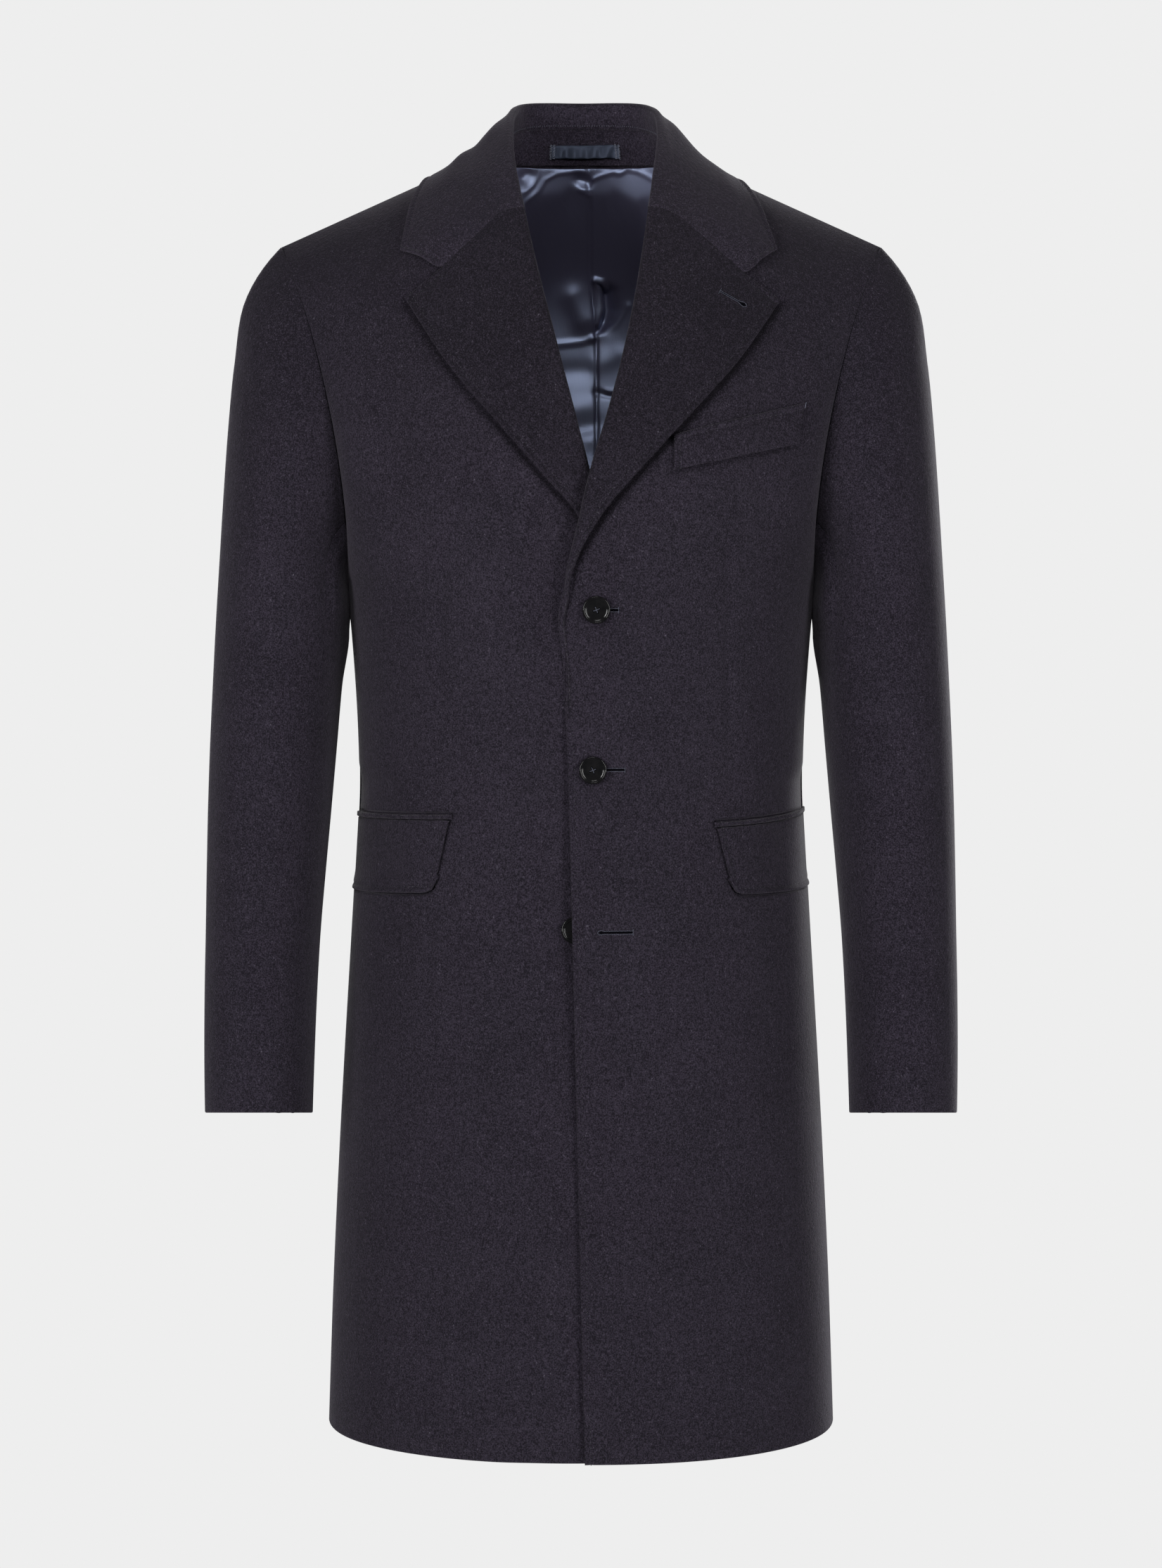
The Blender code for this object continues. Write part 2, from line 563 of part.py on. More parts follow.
def collar_half(side, lapel, lapel_normals, surface):
    """Half the collar and its normals: inner edge, roll and fall, from the gorge to the middle of the back."""
    line, along, up, out = collar_roll(lapel, side)
    centre = line - up * FOLD_RADIUS
    inner_length = mix(*COLLAR_INNER, ease(np.linspace(0.0, 1.6, COLLAR_ROWS + 1)))
    edge = curve(stacked(side.collar_edge, "x", "y", "z"), COLLAR_ROWS)
    lift = LIE_GAP + WOOL + COLLAR_CLEARANCE
    fall_columns = GORGE_COLUMNS + TIP_COLUMNS
    inner_steps = (np.arange(COLLAR_INNER_COLUMNS, 0, -1) / COLLAR_INNER_COLUMNS) ** 1.5
    rows, radials = [], []
    for r in range(COLLAR_ROWS + 1):
        distance = inner_length[r] * inner_steps
        angles = np.concatenate((-np.minimum(distance / FOLD_RADIUS, math.pi / 2), FOLD_ANGLES[2:]))
        straight = np.maximum(distance - FOLD_RADIUS * math.pi / 2, 0.0)
        radial = np.outer(np.cos(angles), up[r]) + np.outer(np.sin(angles), out[r])
        section = centre[r] + FOLD_RADIUS * radial
        section[:COLLAR_INNER_COLUMNS] -= np.outer(straight, up[r])
        end, floor = (surface.nearest(edge[r], height) for height in (lift, 0.0))
        reach = line[r] - end
        away = unit(end - floor)
        slope = unit(reach - away * np.dot(reach, away))
        size = np.linalg.norm(reach)
        lean = FALL_LEAN * math.exp(-((line[r, 1] - SHOULDER_POINT[1]) / LEAN_REACH) ** 2)
        leave = out[r] * math.sin(lean) - up[r] * math.cos(lean)
        points = (section[-1], section[-1] + leave * size * 0.28, end + slope * size * 0.42, end)
        rows.append([*section, *bezier(points, fall_columns)[1:]])
        radials.append(radial)
    grid = np.array(rows)

    folded = len(FOLD_ANGLES)
    gorge = lapel[-1, folded:folded + GORGE_COLUMNS] + along[0] * SEAM_GAP * 1.5
    places = even((gorge[-1, ::2], side.collar_tip), TIP_COLUMNS)[1:]
    floors = np.array([surface.from_front(x, z, 0.0) for x, z in places])
    tips = np.array([surface.from_front(x, z, lift) for x, z in places])
    change = np.vstack((gorge, tips)) - grid[0, -fall_columns:]
    for r in range(COLLAR_BLEND_ROWS):
        grid[r, -fall_columns:] += change * (1.0 - r / COLLAR_BLEND_ROWS) ** 2
    fall = grid[1:, -fall_columns:]
    ridge = np.clip(1.0 - np.abs(fall[..., 1] - SHOULDER_POINT[1]) / RIDGE_REACH, 0.0, 1.0)
    short = np.array([[surface.shortfall(point, lift + RIDGE_LIFT * near) for point, near in zip(*pair)]
                      for pair in zip(fall, ridge)])
    for _ in range(COLLAR_SMOOTHING):
        beside = np.pad(short, ((1, 1), (0, 0)), mode="edge")
        short = np.maximum(short, (beside[:-2] + beside[2:]) / 2.0)
    fall += normals_of(grid)[1:, -fall_columns:] * short[..., None]

    normals = normals_of(grid)
    normals[:, :-fall_columns] = radials
    normals[0, -fall_columns:-TIP_COLUMNS] = lapel_normals[-1, folded:folded + GORGE_COLUMNS]
    normals[0, -TIP_COLUMNS:] = unit(tips - floors)
    return grid, normals, out


def collar_stand_half(front, back, collar, out):
    """Half the collar's stand and its normals: the band inside the neck, from the neck seam to the collar."""
    front_neck = front[LOWER_ROWS + ROLL_ROWS:, 0]
    back_neck = back[-1, BACK_COLUMNS - BACK_NECK_COLUMNS:]
    seam = even(np.vstack((front_neck, back_neck)), COLLAR_ROWS)
    top = collar[:, 0]
    rise = unit(top + out * WOOL - seam)
    bottom = seam + rise * SEAM_GAP * 1.5 - out * WOOL
    top = top - unit(top - bottom) * SEAM_GAP
    grid = np.array([even((a, b), 2) for a, b in zip(bottom, top)])
    normals = np.repeat(-out[:, None], 3, axis=1)
    return grid[STAND_START_ROW:], normals[STAND_START_ROW:]


def joined_halves(left, right):
    """One grid from two halves that meet at the middle of the back."""
    left, right = left.copy(), right * (-1.0, 1.0, 1.0)
    middle = (left[-1] + right[-1]) / 2
    middle[:, 0] = 0.0
    return np.vstack((left[:-1], middle[None], right[-2::-1]))


def sleeve_grid():
    """A whole sleeve and its normals, with columns round from the outside of the arm by the front."""
    side_front = curve(stacked(ARMHOLE_FRONT, "x", "y", "z"), UPPER_ROWS)[::-1]
    side_back = curve(stacked(ARMHOLE_BACK, "x", "y", "z"), UPPER_ROWS)
    loop = np.vstack((side_front, side_back[1:]))
    angle = np.linspace(0.0, 2.0 * math.pi, SLEEVE_COLUMNS + 1)
    turns = np.column_stack((np.cos(angle), np.sin(angle), -np.cos(angle), -np.sin(angle)))
    quarters = np.clip(turns, 0.0, 1.0) ** 2
    leave = quarters @ stacked(CAP, "leave_x", "leave_y", "leave_z")
    arrive = quarters @ stacked(CAP, "arrive_x", "arrive_y", "arrive_z")
    start = loop + unit(leave) * SLEEVE_GAP
    start[:, 0] += quarters[:, 2] * SLEEVE_GAP

    levels = np.linspace(SLEEVE.z[0], SLEEVE.z[-1], ARM_ROWS + 1)
    order = slice(None, None, -1)
    size = {name: smooth(SLEEVE.z[order], getattr(SLEEVE, name)[order], levels)
            for name in ("centre_x", "centre_y", "half_width", "half_depth")}
    power = 2.0 / SLEEVE_FULLNESS
    across = np.sign(np.cos(angle)) * np.abs(np.cos(angle)) ** power
    deep = -np.sign(np.sin(angle)) * np.abs(np.sin(angle)) ** power
    rings = []
    for r, z in enumerate(levels):
        tilt = CUFF_TILT * ease(r / ARM_ROWS)
        y = deep * size["half_depth"][r]
        x = size["centre_x"][r] + across * size["half_width"][r]
        rings.append(np.column_stack((x, size["centre_y"][r] + y, z - tilt * y)))
    columns = [bezier((a, a + b, d + c, d), CAP_ROWS) for a, b, c, d in zip(start, leave, arrive, rings[0])]
    grid = np.vstack((np.array(columns).swapaxes(0, 1), np.array(rings[1:])))
    wrapped = np.concatenate((grid[:, -2:-1], grid, grid[:, 1:2]), axis=1)
    normals = normals_of(wrapped)[:, 1:-1]
    normals[0] = unit(np.cross(np.gradient(wrapped[0], axis=0)[1:-1], leave))
    return grid, normals


def sleeve_walls(side):
    """The top and under pieces of a sleeve, parted at the forearm and hindarm seams."""
    grid, normals = sleeve_grid()
    for piece, first, last in (("under", FOREARM_SEAM, HINDARM_SEAM), ("top", HINDARM_SEAM, FOREARM_SEAM)):
        count = (last - first) % SLEEVE_COLUMNS + 1
        columns = (first + np.arange(count)) % SLEEVE_COLUMNS
        cut = pulled(grid[:, columns], column=0, distance=SEAM_GAP)
        cut = pulled(cut, column=count - 1, distance=SEAM_GAP)
        faces = on_side(side, normals[:, columns])
        wall(f"sleeve_{side.name}_{piece}", on_side(side, cut), WOOL, "wool", faces)


def around(front, share, z):
    """A front's point and normal at a share of the way round to the side seam, below the underarm."""
    levels = lower_levels()
    row = np.interp(z, levels, np.arange(len(levels)))
    column = share * FRONT_COLUMNS
    r, c = min(int(row), len(levels) - 2), min(int(column), FRONT_COLUMNS - 1)
    both = np.concatenate((front, normals_of(front)), axis=2)
    upper, lower = (mix(both[k, c], both[k, c + 1], column - c) for k in (r + 1, r))
    found = mix(lower, upper, row - r)
    return found[:3], unit(found[3:])


def share_at(front, x, z):
    """The share of the way round to the side seam where the front view shows x."""
    shares = np.linspace(0.0, 1.0, 201)
    return np.interp(x, [around(front, share, z)[0][0] for share in shares], shares)


def pocket_piece(front, outline, rows, columns, lift):
    """A grid on the front, with outline giving the share round and the height at each place."""
    grid = np.empty((rows + 1, columns + 1, 3))
    for r in range(rows + 1):
        for c in range(columns + 1):
            point, normal = around(front, *outline(c / columns, r / rows))
            grid[r, c] = point + normal * lift
    return grid


def pocket(side, front):
    """A flap and the jet above it."""
    top_x, low_x = side.flap.x
    top_z, low_z = side.flap.z
    top_share, low_share = share_at(front, top_x, top_z), share_at(front, low_x, low_z)
    jet_share = share_at(front, top_x - JET_OVERHANG, top_z)

    def flap_place(along, up):
        top = mix(top_z, side.flap_rear_z, along)
        low = mix(low_z, side.flap_rear_z - FLAP_DEPTH, along)
        return mix(mix(low_share, top_share, up), FLAP_REAR, along), mix(low, top, up)

    def jet_place(along, up):
        base = mix(top_z, side.flap_rear_z, along) + SEAM_GAP
        return mix(jet_share, FLAP_REAR, along), base + JET_HEIGHT * up

    flap = pocket_piece(front, flap_place, FLAP_ROWS, FLAP_COLUMNS, LIE_GAP + WOOL)
    jet = pocket_piece(front, jet_place, 1, FLAP_COLUMNS, LIE_GAP + JET_THICKNESS)
    wall(f"flap_{side.name}", on_side(side, flap), WOOL, "wool")
    wall(f"jet_{side.name}", on_side(side, jet), JET_THICKNESS, "wool")


def chest_welt(surface):
    """The welt of the breast pocket."""
    rows = []
    for up in np.linspace(0.0, 1.0, WELT_ROWS + 1):
        ends = (mix(low, high, up) for low, high in zip(WELT_LOWER, WELT_UPPER))
        rows.append([surface.from_front(x, z, LIE_GAP + WOOL) for x, z in even(tuple(ends), WELT_COLUMNS)])
    wall("chest_welt", np.array(rows), WOOL, "wool")


def turned(name, profile, segments):
    """A mesh turned about Z from a profile that starts and ends on the axis."""
    body = bmesh.new()
    rings = []
    for radius, height in profile[1:-1]:
        angles = np.linspace(0.0, 2.0 * math.pi, segments, endpoint=False)
        rings.append([body.verts.new((radius * math.cos(a), radius * math.sin(a), height)) for a in angles])
    poles = [body.verts.new((0.0, 0.0, profile[end][1])) for end in (0, -1)]
    for k in range(segments):
        after = (k + 1) % segments
        body.faces.new((poles[0], rings[0][after], rings[0][k]))
        body.faces.new((poles[1], rings[-1][k], rings[-1][after]))
        for low, high in zip(rings, rings[1:]):
            body.faces.new((low[k], low[after], high[after], high[k]))
    mesh = bpy.data.meshes.new(name)
    body.to_mesh(mesh)
    body.free()
    return mesh


def hole_cutter():
    """Four thread holes as one hidden cutter."""
    body = bmesh.new()
    height = float(BUTTON_PROFILE.height.max())
    for x in (-BUTTON_HOLE_PLACE, BUTTON_HOLE_PLACE):
        for y in (-BUTTON_HOLE_PLACE, BUTTON_HOLE_PLACE):
            made = bmesh.ops.create_cone(
                body, cap_ends=True, segments=BUTTON_HOLE_SIDES, depth=3.0 * height,
                radius1=BUTTON_HOLE_RADIUS, radius2=BUTTON_HOLE_RADIUS)
            bmesh.ops.translate(body, verts=made["verts"], vec=(x, y, height / 2))
    mesh = bpy.data.meshes.new("button_holes")
    body.to_mesh(mesh)
    body.free()
    cutter = bpy.data.objects.new("button_holes", mesh)
    bpy.context.scene.collection.objects.link(cutter)
    cutter.hide_render = True
    cutter.display_type = "WIRE"
    return cutter


def button(name, surface, sign, x, z):
    """A four-hole button that lies on a front."""
    low, high = (surface.from_front(x, z, lift) * (sign, 1.0, 1.0) for lift in (BUTTON_GAP, 1.0))
    turn = Vector(high - low).to_track_quat("Z", "Y")
    profile = stacked(BUTTON_PROFILE, "radius", "height")
    item = add_object(name, turned(name, profile, BUTTON_SEGMENTS), "button")
    cutter = hole_cutter()
    for thing in (item, cutter):
        thing.rotation_mode = "QUATERNION"
        thing.rotation_quaternion = turn
        thing.location = low
    cut = item.modifiers.new("holes", "BOOLEAN")
    cut.operation = "DIFFERENCE"
    cut.solver = "EXACT"
    cut.object = cutter


def back_lining(side, back):
    """Half the satin lining, just inside the back."""
    normals = back_normals(back)
    inside = (back - normals * (WOOL + LINING_LIFT))[LINING_HEM_ROW:]
    inside = pulled(inside, column=0, distance=4 * SEAM_GAP)
    inside = pulled(inside, row=len(inside) - 1, distance=4 * SEAM_GAP)
    faces = on_side(side, normals[LINING_HEM_ROW:])
    wall(f"lining_back_{side.name}", on_side(side, inside), SATIN, "satin", faces)


def hanger_loop(stand):
    """The satin loop across the back of the stand, bowed away from it in the middle."""
    surface = Surface(stand)
    share = np.linspace(-1.0, 1.0, LOOP_COLUMNS + 1)
    lifts = SEAM_GAP + SATIN + LOOP_BOW * (1.0 - share ** 2)
    places = mix(LOOP_X[0], LOOP_X[1], (share + 1.0) / 2.0)
    depth = BACK_NECK_POINT[1]
    rows = [[surface.nearest((x, depth, z), lift) for x, lift in zip(places, lifts)] for z in LOOP_Z]
    wall("hanger_loop", np.array(rows), SATIN, "satin")


def build():
    """The whole coat."""
    for item in list(bpy.data.objects):
        bpy.data.objects.remove(item)
    halves, surfaces, collars, stands = {}, {}, [], []
    for side in (LEFT, RIGHT):
        front, back = front_panel(side), back_panel()
        surface = Surface(front, back)
        front_wall(side, front)
        back_wall(side, back)
        sleeve_walls(side)
        lapel, lapel_normals = lapel_grid(side, front, surface)
        wall(f"lapel_{side.name}", on_side(side, lapel), WOOL, "wool", on_side(side, lapel_normals))
        collar, collar_normals, out = collar_half(side, lapel, lapel_normals, surface)
        collars.append((collar, collar_normals))
        stands.append(collar_stand_half(front, back, collar, out))
        pocket(side, front)
        back_lining(side, back)
        halves[side.name], surfaces[side.name] = side, surface
    collar, collar_normals = (joined_halves(*pair) for pair in zip(*collars))
    wall("collar", collar, WOOL, "wool", unit(collar_normals))
    stand, stand_normals = (joined_halves(*pair) for pair in zip(*stands))
    wall("collar_stand", stand, WOOL, "wool", unit(stand_normals))
    hanger_loop(stand)
    chest_welt(surfaces["left"])
    for name, half, x, z in BUTTONS:
        button(name, surfaces[half], halves[half].sign, x, z)


build()
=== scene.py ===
# %% [markdown]
# # A navy wool overcoat, filled out as if worn
# The coat's solids give every piece of cloth its cut and its place. This lesson dresses them: each wall of
# cloth is read back as rows and columns of points, made finer, given its soft hollows and sewn edges, and
# closed again into a thin shell with rounded rims. Stitches, buttonholes and buttons go on afterwards.
# First the frame is loaded.

# %% Load the solids
import math
from types import SimpleNamespace

import bmesh
import bpy
import numpy as np
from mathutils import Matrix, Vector
from mathutils.bvhtree import BVHTree


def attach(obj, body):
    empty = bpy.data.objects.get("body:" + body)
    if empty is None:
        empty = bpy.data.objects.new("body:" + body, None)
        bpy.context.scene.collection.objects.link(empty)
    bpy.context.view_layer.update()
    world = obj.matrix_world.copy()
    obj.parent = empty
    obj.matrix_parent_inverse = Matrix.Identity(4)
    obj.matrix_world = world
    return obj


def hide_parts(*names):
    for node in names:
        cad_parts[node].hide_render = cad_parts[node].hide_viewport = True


def table(columns, *rows):
    """A short table: one namespace for each row, with the columns' names."""
    names = columns.split()
    return [SimpleNamespace(**dict(zip(names, row))) for row in rows]


def put(name, data):
    """Adds an object with this mesh, light or camera to the scene."""
    made = bpy.data.objects.new(name, data)
    scene.collection.objects.link(made)
    return made


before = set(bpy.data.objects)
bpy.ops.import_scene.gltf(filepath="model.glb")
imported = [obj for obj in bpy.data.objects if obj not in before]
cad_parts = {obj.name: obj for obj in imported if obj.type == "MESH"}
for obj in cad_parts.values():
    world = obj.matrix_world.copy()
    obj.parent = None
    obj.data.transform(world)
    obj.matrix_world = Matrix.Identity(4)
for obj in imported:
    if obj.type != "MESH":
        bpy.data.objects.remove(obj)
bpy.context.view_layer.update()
scene = bpy.context.scene

# %% [markdown]
# ## The camera
# The photograph is an upright product picture taken with a long lens from a little above the waist.
# A long lens keeps the sleeves and the hem from spreading. The camera stands 2.83 m in front of the neck
# and looks down by less than four degrees, which opens the hem into a shallow curve.

# %% Place the camera
CAMERA_PLACE = (0.0, -2.83, -0.287)
CAMERA_PITCH = math.radians(3.75)
LENS_MM = 85.0
SENSOR_MM = 36.0

lens = bpy.data.cameras.new("camera")
lens.lens = LENS_MM
lens.sensor_width = SENSOR_MM
camera = put("camera", lens)
camera.location = CAMERA_PLACE
camera.rotation_euler = (math.pi / 2 - CAMERA_PITCH, 0.0, 0.0)
scene.camera = camera
print("camera at", CAMERA_PLACE)

# %% [markdown]
# ## Node trees as formulas
# A finish is a tree of nodes, and so is the rule that lays the stitches. Joining sockets one by one is hard
# to read, so one small class wraps an output socket. A sum or a product of wires adds a Math node, and any
# other node comes from one method. A pattern can then be written as a formula.

# %% Wrap the sockets
class Wire:
    """An output socket of a node tree. Arithmetic on it adds Math nodes."""

    def __init__(self, tree, socket=None):
        self.tree = tree
        self.socket = socket

    def node(self, kind, inputs=None, output=0, **settings):
        """Adds a node, sets it up, then fills or links its inputs. Gives one of its outputs."""
        made = self.tree.nodes.new(kind)
        for name, value in settings.items():
            setattr(made, name, value)
        for key, value in (inputs or {}).items():
            if isinstance(value, Wire):
                self.tree.links.new(value.socket, made.inputs[key])
            else:
                made.inputs[key].default_value = value
        return Wire(self.tree, made.outputs[output] if made.outputs else None)

    def beside(self, output):
        """Another output of the same node."""
        return Wire(self.tree, self.socket.node.outputs[output])

    def math(self, operation, first, second):
        """A Math node on two values."""
        return self.node("ShaderNodeMath", {0: first, 1: second}, operation=operation)

    def __add__(self, other):
        return self.math("ADD", self, other)

    def __sub__(self, other):
        return self.math("SUBTRACT", self, other)

    def __mul__(self, other):
        return self.math("MULTIPLY", self, other)

    def __rsub__(self, other):
        return self.math("SUBTRACT", other, self)

    __radd__ = __add__
    __rmul__ = __mul__

    def clamped(self):
        """This value held between 0 and 1."""
        return self.node("ShaderNodeClamp", {"Value": self})

    def upward(self):
        """How far this vector goes up: its z part."""
        return self.node("ShaderNodeSeparateXYZ", {0: self}, output="Z")

    def between(self, low_colour, high_colour):
        """Goes from one colour to another as this value goes from 0 to 1."""
        colours = {0: self, 6: low_colour, 7: high_colour}
        return self.node("ShaderNodeMix", colours, output=2, data_type="RGBA")

    def noise(self, scale, detail=1.0, roughness=0.5):
        """A noise with this wire as its coordinates, from about -1 to 1."""
        inputs = {"Vector": self, "Scale": scale, "Detail": detail, "Roughness": roughness}
        return (self.node("ShaderNodeTexNoise", inputs) - 0.5) * 2.0

    def bump(self, strength, depth):
        """A surface that rises and falls with this value."""
        return self.node("ShaderNodeBump", {"Height": self, "Strength": strength, "Distance": depth})


def blank_material(name):
    """A material with an empty node tree, and a wire to start it with."""
    material = bpy.data.materials.new(name)
    material.use_nodes = True
    material.node_tree.nodes.clear()
    return material, Wire(material.node_tree)


def coated(material, start, looks):
    """Ends a material with one surface, whose looks are given by the names of their sockets."""
    shader = start.node("ShaderNodeBsdfPrincipled", looks)
    start.node("ShaderNodeOutputMaterial", {"Surface": shader})
    return material


print("wires for node trees are ready")

# %% [markdown]
# ## The studio
# The coat hangs in front of one even pale grey, with no floor line. The floor and the sky both show that
# grey to the camera, so they stay even from every side, but they light the coat less than they seem to,
# or they would wash out the shadows under the lapels. The sky gives the least, as the shoulders
# are darker than the chest. Two large soft boxes stand left and right in front of the coat. A small one
# hangs above the camera, where the lining's upward slopes mirror it through the open neck, and a narrow
# spot lights the inside of the neck. Two more boxes stand behind and light the back.
# Gloss mirrors a darker studio than the one that lights the wool, so the buttons stay black.

# %% Light the studio
WHITE = (1.0, 1.0, 1.0, 1.0)
BACKDROP_GREY = 0.855
SKY_FILL = 0.06
FLOOR_FILL = 0.50
MIRRORED = 0.06
FLOOR_Z = -1.60
FLOOR_SIZE = 60.0
AIM = (0.0, 0.0, -0.40)
SOFT_BOXES = table(
    "name place width height power",
    ("left_box", (-2.2, -2.7, 0.05), 1.2, 2.0, 106.0),
    ("right_box", (2.3, -2.6, -0.15), 1.2, 2.0, 81.0),
    ("back_left_box", (-0.8, 3.2, 0.20), 1.0, 2.2, 60.0),
    ("back_right_box", (1.7, 3.0, 0.10), 1.0, 2.2, 120.0),
    ("neck_box", (0.0, -2.4, 1.60), 1.2, 0.8, 18.0),
)
SPOT = SimpleNamespace(
    place=(0.0, -2.1, 0.80), aim=(0.0, 0.06, -0.01), angle=6.5, blend=0.8, radius=0.12, power=58.0)


def backdrop_grey(start, fill):
    """The backdrop's grey: full to the camera, weaker to what it lights and dark in mirrors."""
    seen = start.node("ShaderNodeLightPath", output="Is Camera Ray")
    return seen * (BACKDROP_GREY - fill) + seen.beside("Is Glossy Ray") * (MIRRORED - fill) + fill


def pale_floor():
    """The floor's material, which glows instead of being lit, so no shadow falls on it."""
    material, start = blank_material("pale_floor")
    glow = start.node("ShaderNodeEmission", {"Color": WHITE, "Strength": backdrop_grey(start, FLOOR_FILL)})
    start.node("ShaderNodeOutputMaterial", {"Surface": glow})
    return material


def hang_light(lamp, place, aim):
    """Puts a light at its place and turns it towards its aim."""
    light = put(lamp.name, lamp)
    light.location = place
    light.rotation_euler = (Vector(aim) - Vector(place)).to_track_quat("-Z", "Y").to_euler()


def light_studio():
    """The floor, the soft boxes, the spot and the sky."""
    half = FLOOR_SIZE / 2.0
    corners = [(x, y, FLOOR_Z) for x, y in ((-half, -half), (half, -half), (half, half), (-half, half))]
    sheet = bpy.data.meshes.new("floor")
    sheet.from_pydata(corners, [], [(0, 1, 2, 3)])
    sheet.materials.append(pale_floor())
    floor = put("floor", sheet)
    for box in SOFT_BOXES:
        lamp = bpy.data.lights.new(box.name, "AREA")
        lamp.shape = "RECTANGLE"
        lamp.size, lamp.size_y = box.width, box.height
        lamp.energy = box.power
        hang_light(lamp, box.place, AIM)
    spot = bpy.data.lights.new("neck_spot", "SPOT")
    spot.spot_size, spot.spot_blend = math.radians(SPOT.angle), SPOT.blend
    spot.shadow_soft_size, spot.energy = SPOT.radius, SPOT.power
    hang_light(spot, SPOT.place, SPOT.aim)
    sky = bpy.data.worlds.new("studio")
    sky.use_nodes = True
    sky.node_tree.nodes.clear()
    start = Wire(sky.node_tree)
    glow = start.node("ShaderNodeBackground", {"Color": WHITE, "Strength": backdrop_grey(start, SKY_FILL)})
    start.node("ShaderNodeOutputWorld", {"Surface": glow})
    scene.world = sky
    scene.view_settings.view_transform = "Standard"


light_studio()
print("soft boxes:", len(SOFT_BOXES))

# %% [markdown]
# ## The wool
# Melton is wool that was milled until its fibres felted and then brushed, so no weave shows: only a fine
# fleck, about a millimetre wide, of darker and lighter fibres of one purplish navy, a few pale ones, faint
# broad patches where the nap lies another way, and a soft sheen at grazing angles. The noises read Object
# coordinates, which run on through the seams between neighbouring pieces. Cloth that faces up is painted
# darker: a painted shade on the shoulders and other upward faces. The lapels get a darker copy of the wool,
# a painted shade, and the collar and the stand a lighter copy, a painted light.

# %% Mix the wool
NAP_STRETCH = (1.0, 1.0, 0.85)
FIBRES_PER_M = 1050.0
TUFTS_PER_M = 330.0
PATCHES_PER_M = 22.0
DEEP_NAVY = (0.0062, 0.0050, 0.0080)
SOFT_NAVY = (0.0272, 0.0222, 0.0333)
FACING_PAINTED_SHADE = 0.76
FACING_SHADE_FADE = (-0.245, -0.310)
COLLAR_PAINTED_LIGHT = 1.27
PAINTED_UPWARD_SHADE = 0.50
FLECK = SimpleNamespace(fibres=1.45, tufts=0.35, patches=0.14, base=0.42)
PALE = SimpleNamespace(tufts=0.4, above=0.50, gain=2.5, colour=(0.110, 0.104, 0.125, 1.0))
NAP = SimpleNamespace(fibres=0.6, tufts=0.5, strength=0.5, depth=0.0007)
WOOL_SHEEN = (0.75, 0.70, 0.80, 1.0)


def mix_wool(name, depth, fade=None):
    """Melton wool, painted darker where it faces up. A depth below 1 is a painted shade and a depth above 1
    a painted light; the painted shade can fade out between two heights.
    """
    material, start = blank_material(name)
    place = start.node("ShaderNodeTexCoord", output="Object")
    brushed = start.node("ShaderNodeMapping", {"Vector": place, "Scale": NAP_STRETCH})
    fibres = brushed.noise(FIBRES_PER_M, roughness=0.6)
    tufts = brushed.noise(TUFTS_PER_M)
    fleck = fibres * FLECK.fibres + tufts * FLECK.tufts + place.noise(PATCHES_PER_M) * FLECK.patches
    # Painted shade: cloth that faces up gets a darker base colour.
    shade = start.node("ShaderNodeNewGeometry", output="Normal").upward().clamped() * PAINTED_UPWARD_SHADE
    lightness = (fleck - shade + FLECK.base).clamped()

    # Copies of the wool's colour made darker or lighter: a painted shade below 1, a painted light above 1.
    def painted_tone_colour(share):
        deep, soft = (tuple(share * part for part in navy) + (1.0,) for navy in (DEEP_NAVY, SOFT_NAVY))
        return lightness.between(deep, soft)

    colour = painted_tone_colour(depth)
    if fade:
        faded = ((place.upward() - fade[0]) * (1.0 / (fade[1] - fade[0]))).clamped()
        colour = faded.between(colour, painted_tone_colour(1.0))
    pale = ((fibres + tufts * PALE.tufts - PALE.above) * PALE.gain).clamped()
    nap = fibres * NAP.fibres + tufts * NAP.tufts
    return coated(material, start, {
        "Base Color": pale.between(colour, PALE.colour), "Roughness": 0.95, "Specular IOR Level": 0.10,
        "Sheen Weight": 0.13, "Sheen Roughness": 0.45, "Sheen Tint": WOOL_SHEEN,
        "Normal": nap.bump(NAP.strength, NAP.depth),
    })


WOOL = mix_wool("melton_wool", 1.0)
# The lapels' darker copy of the wool is a painted shade, which fades out down the tail.
SHADED_FACING_WOOL = mix_wool("shaded_facing_wool", FACING_PAINTED_SHADE, FACING_SHADE_FADE)
# The collar's and the stand's lighter copy of the wool is a painted light.
LIT_COLLAR_WOOL = mix_wool("lit_collar_wool", COLLAR_PAINTED_LIGHT)
print("mixed", WOOL.name, SHADED_FACING_WOOL.name, LIT_COLLAR_WOOL.name)

# %% [markdown]
# ## The satin
# The lining and the hanger loop are a satin of a dark purplish navy whose gloss is slate blue. Its long
# floats of thread lie one way, so the gloss is wider across them than along them. It stays dark where it
# faces the dark inside of the coat, and pale along every slope that mirrors a light. The fine threads read
# the cloth's own UV map, which is in metres. A high index of refraction makes the lining's gloss strong. The
# loop is woven darker and duller.

# %% Mix the satin
STREAKS = (1500.0, 30.0, 1.0)
SATIN_DARK = (0.034, 0.029, 0.050, 1.0)
SATIN_LIGHT = (0.056, 0.050, 0.080, 1.0)
SATIN_GLOSS = (0.58, 0.69, 1.0, 1.0)
SATIN_IOR = 2.6
LOOP_DARK = (0.003, 0.0035, 0.006, 1.0)
LOOP_LIGHT = (0.010, 0.012, 0.019, 1.0)
LOOP_IOR = 1.4
FLOATS = SimpleNamespace(contrast=0.6, base=0.5, strength=0.12, depth=0.0002, roughness=0.42)
ROUGHNESS_SPREAD = 0.04


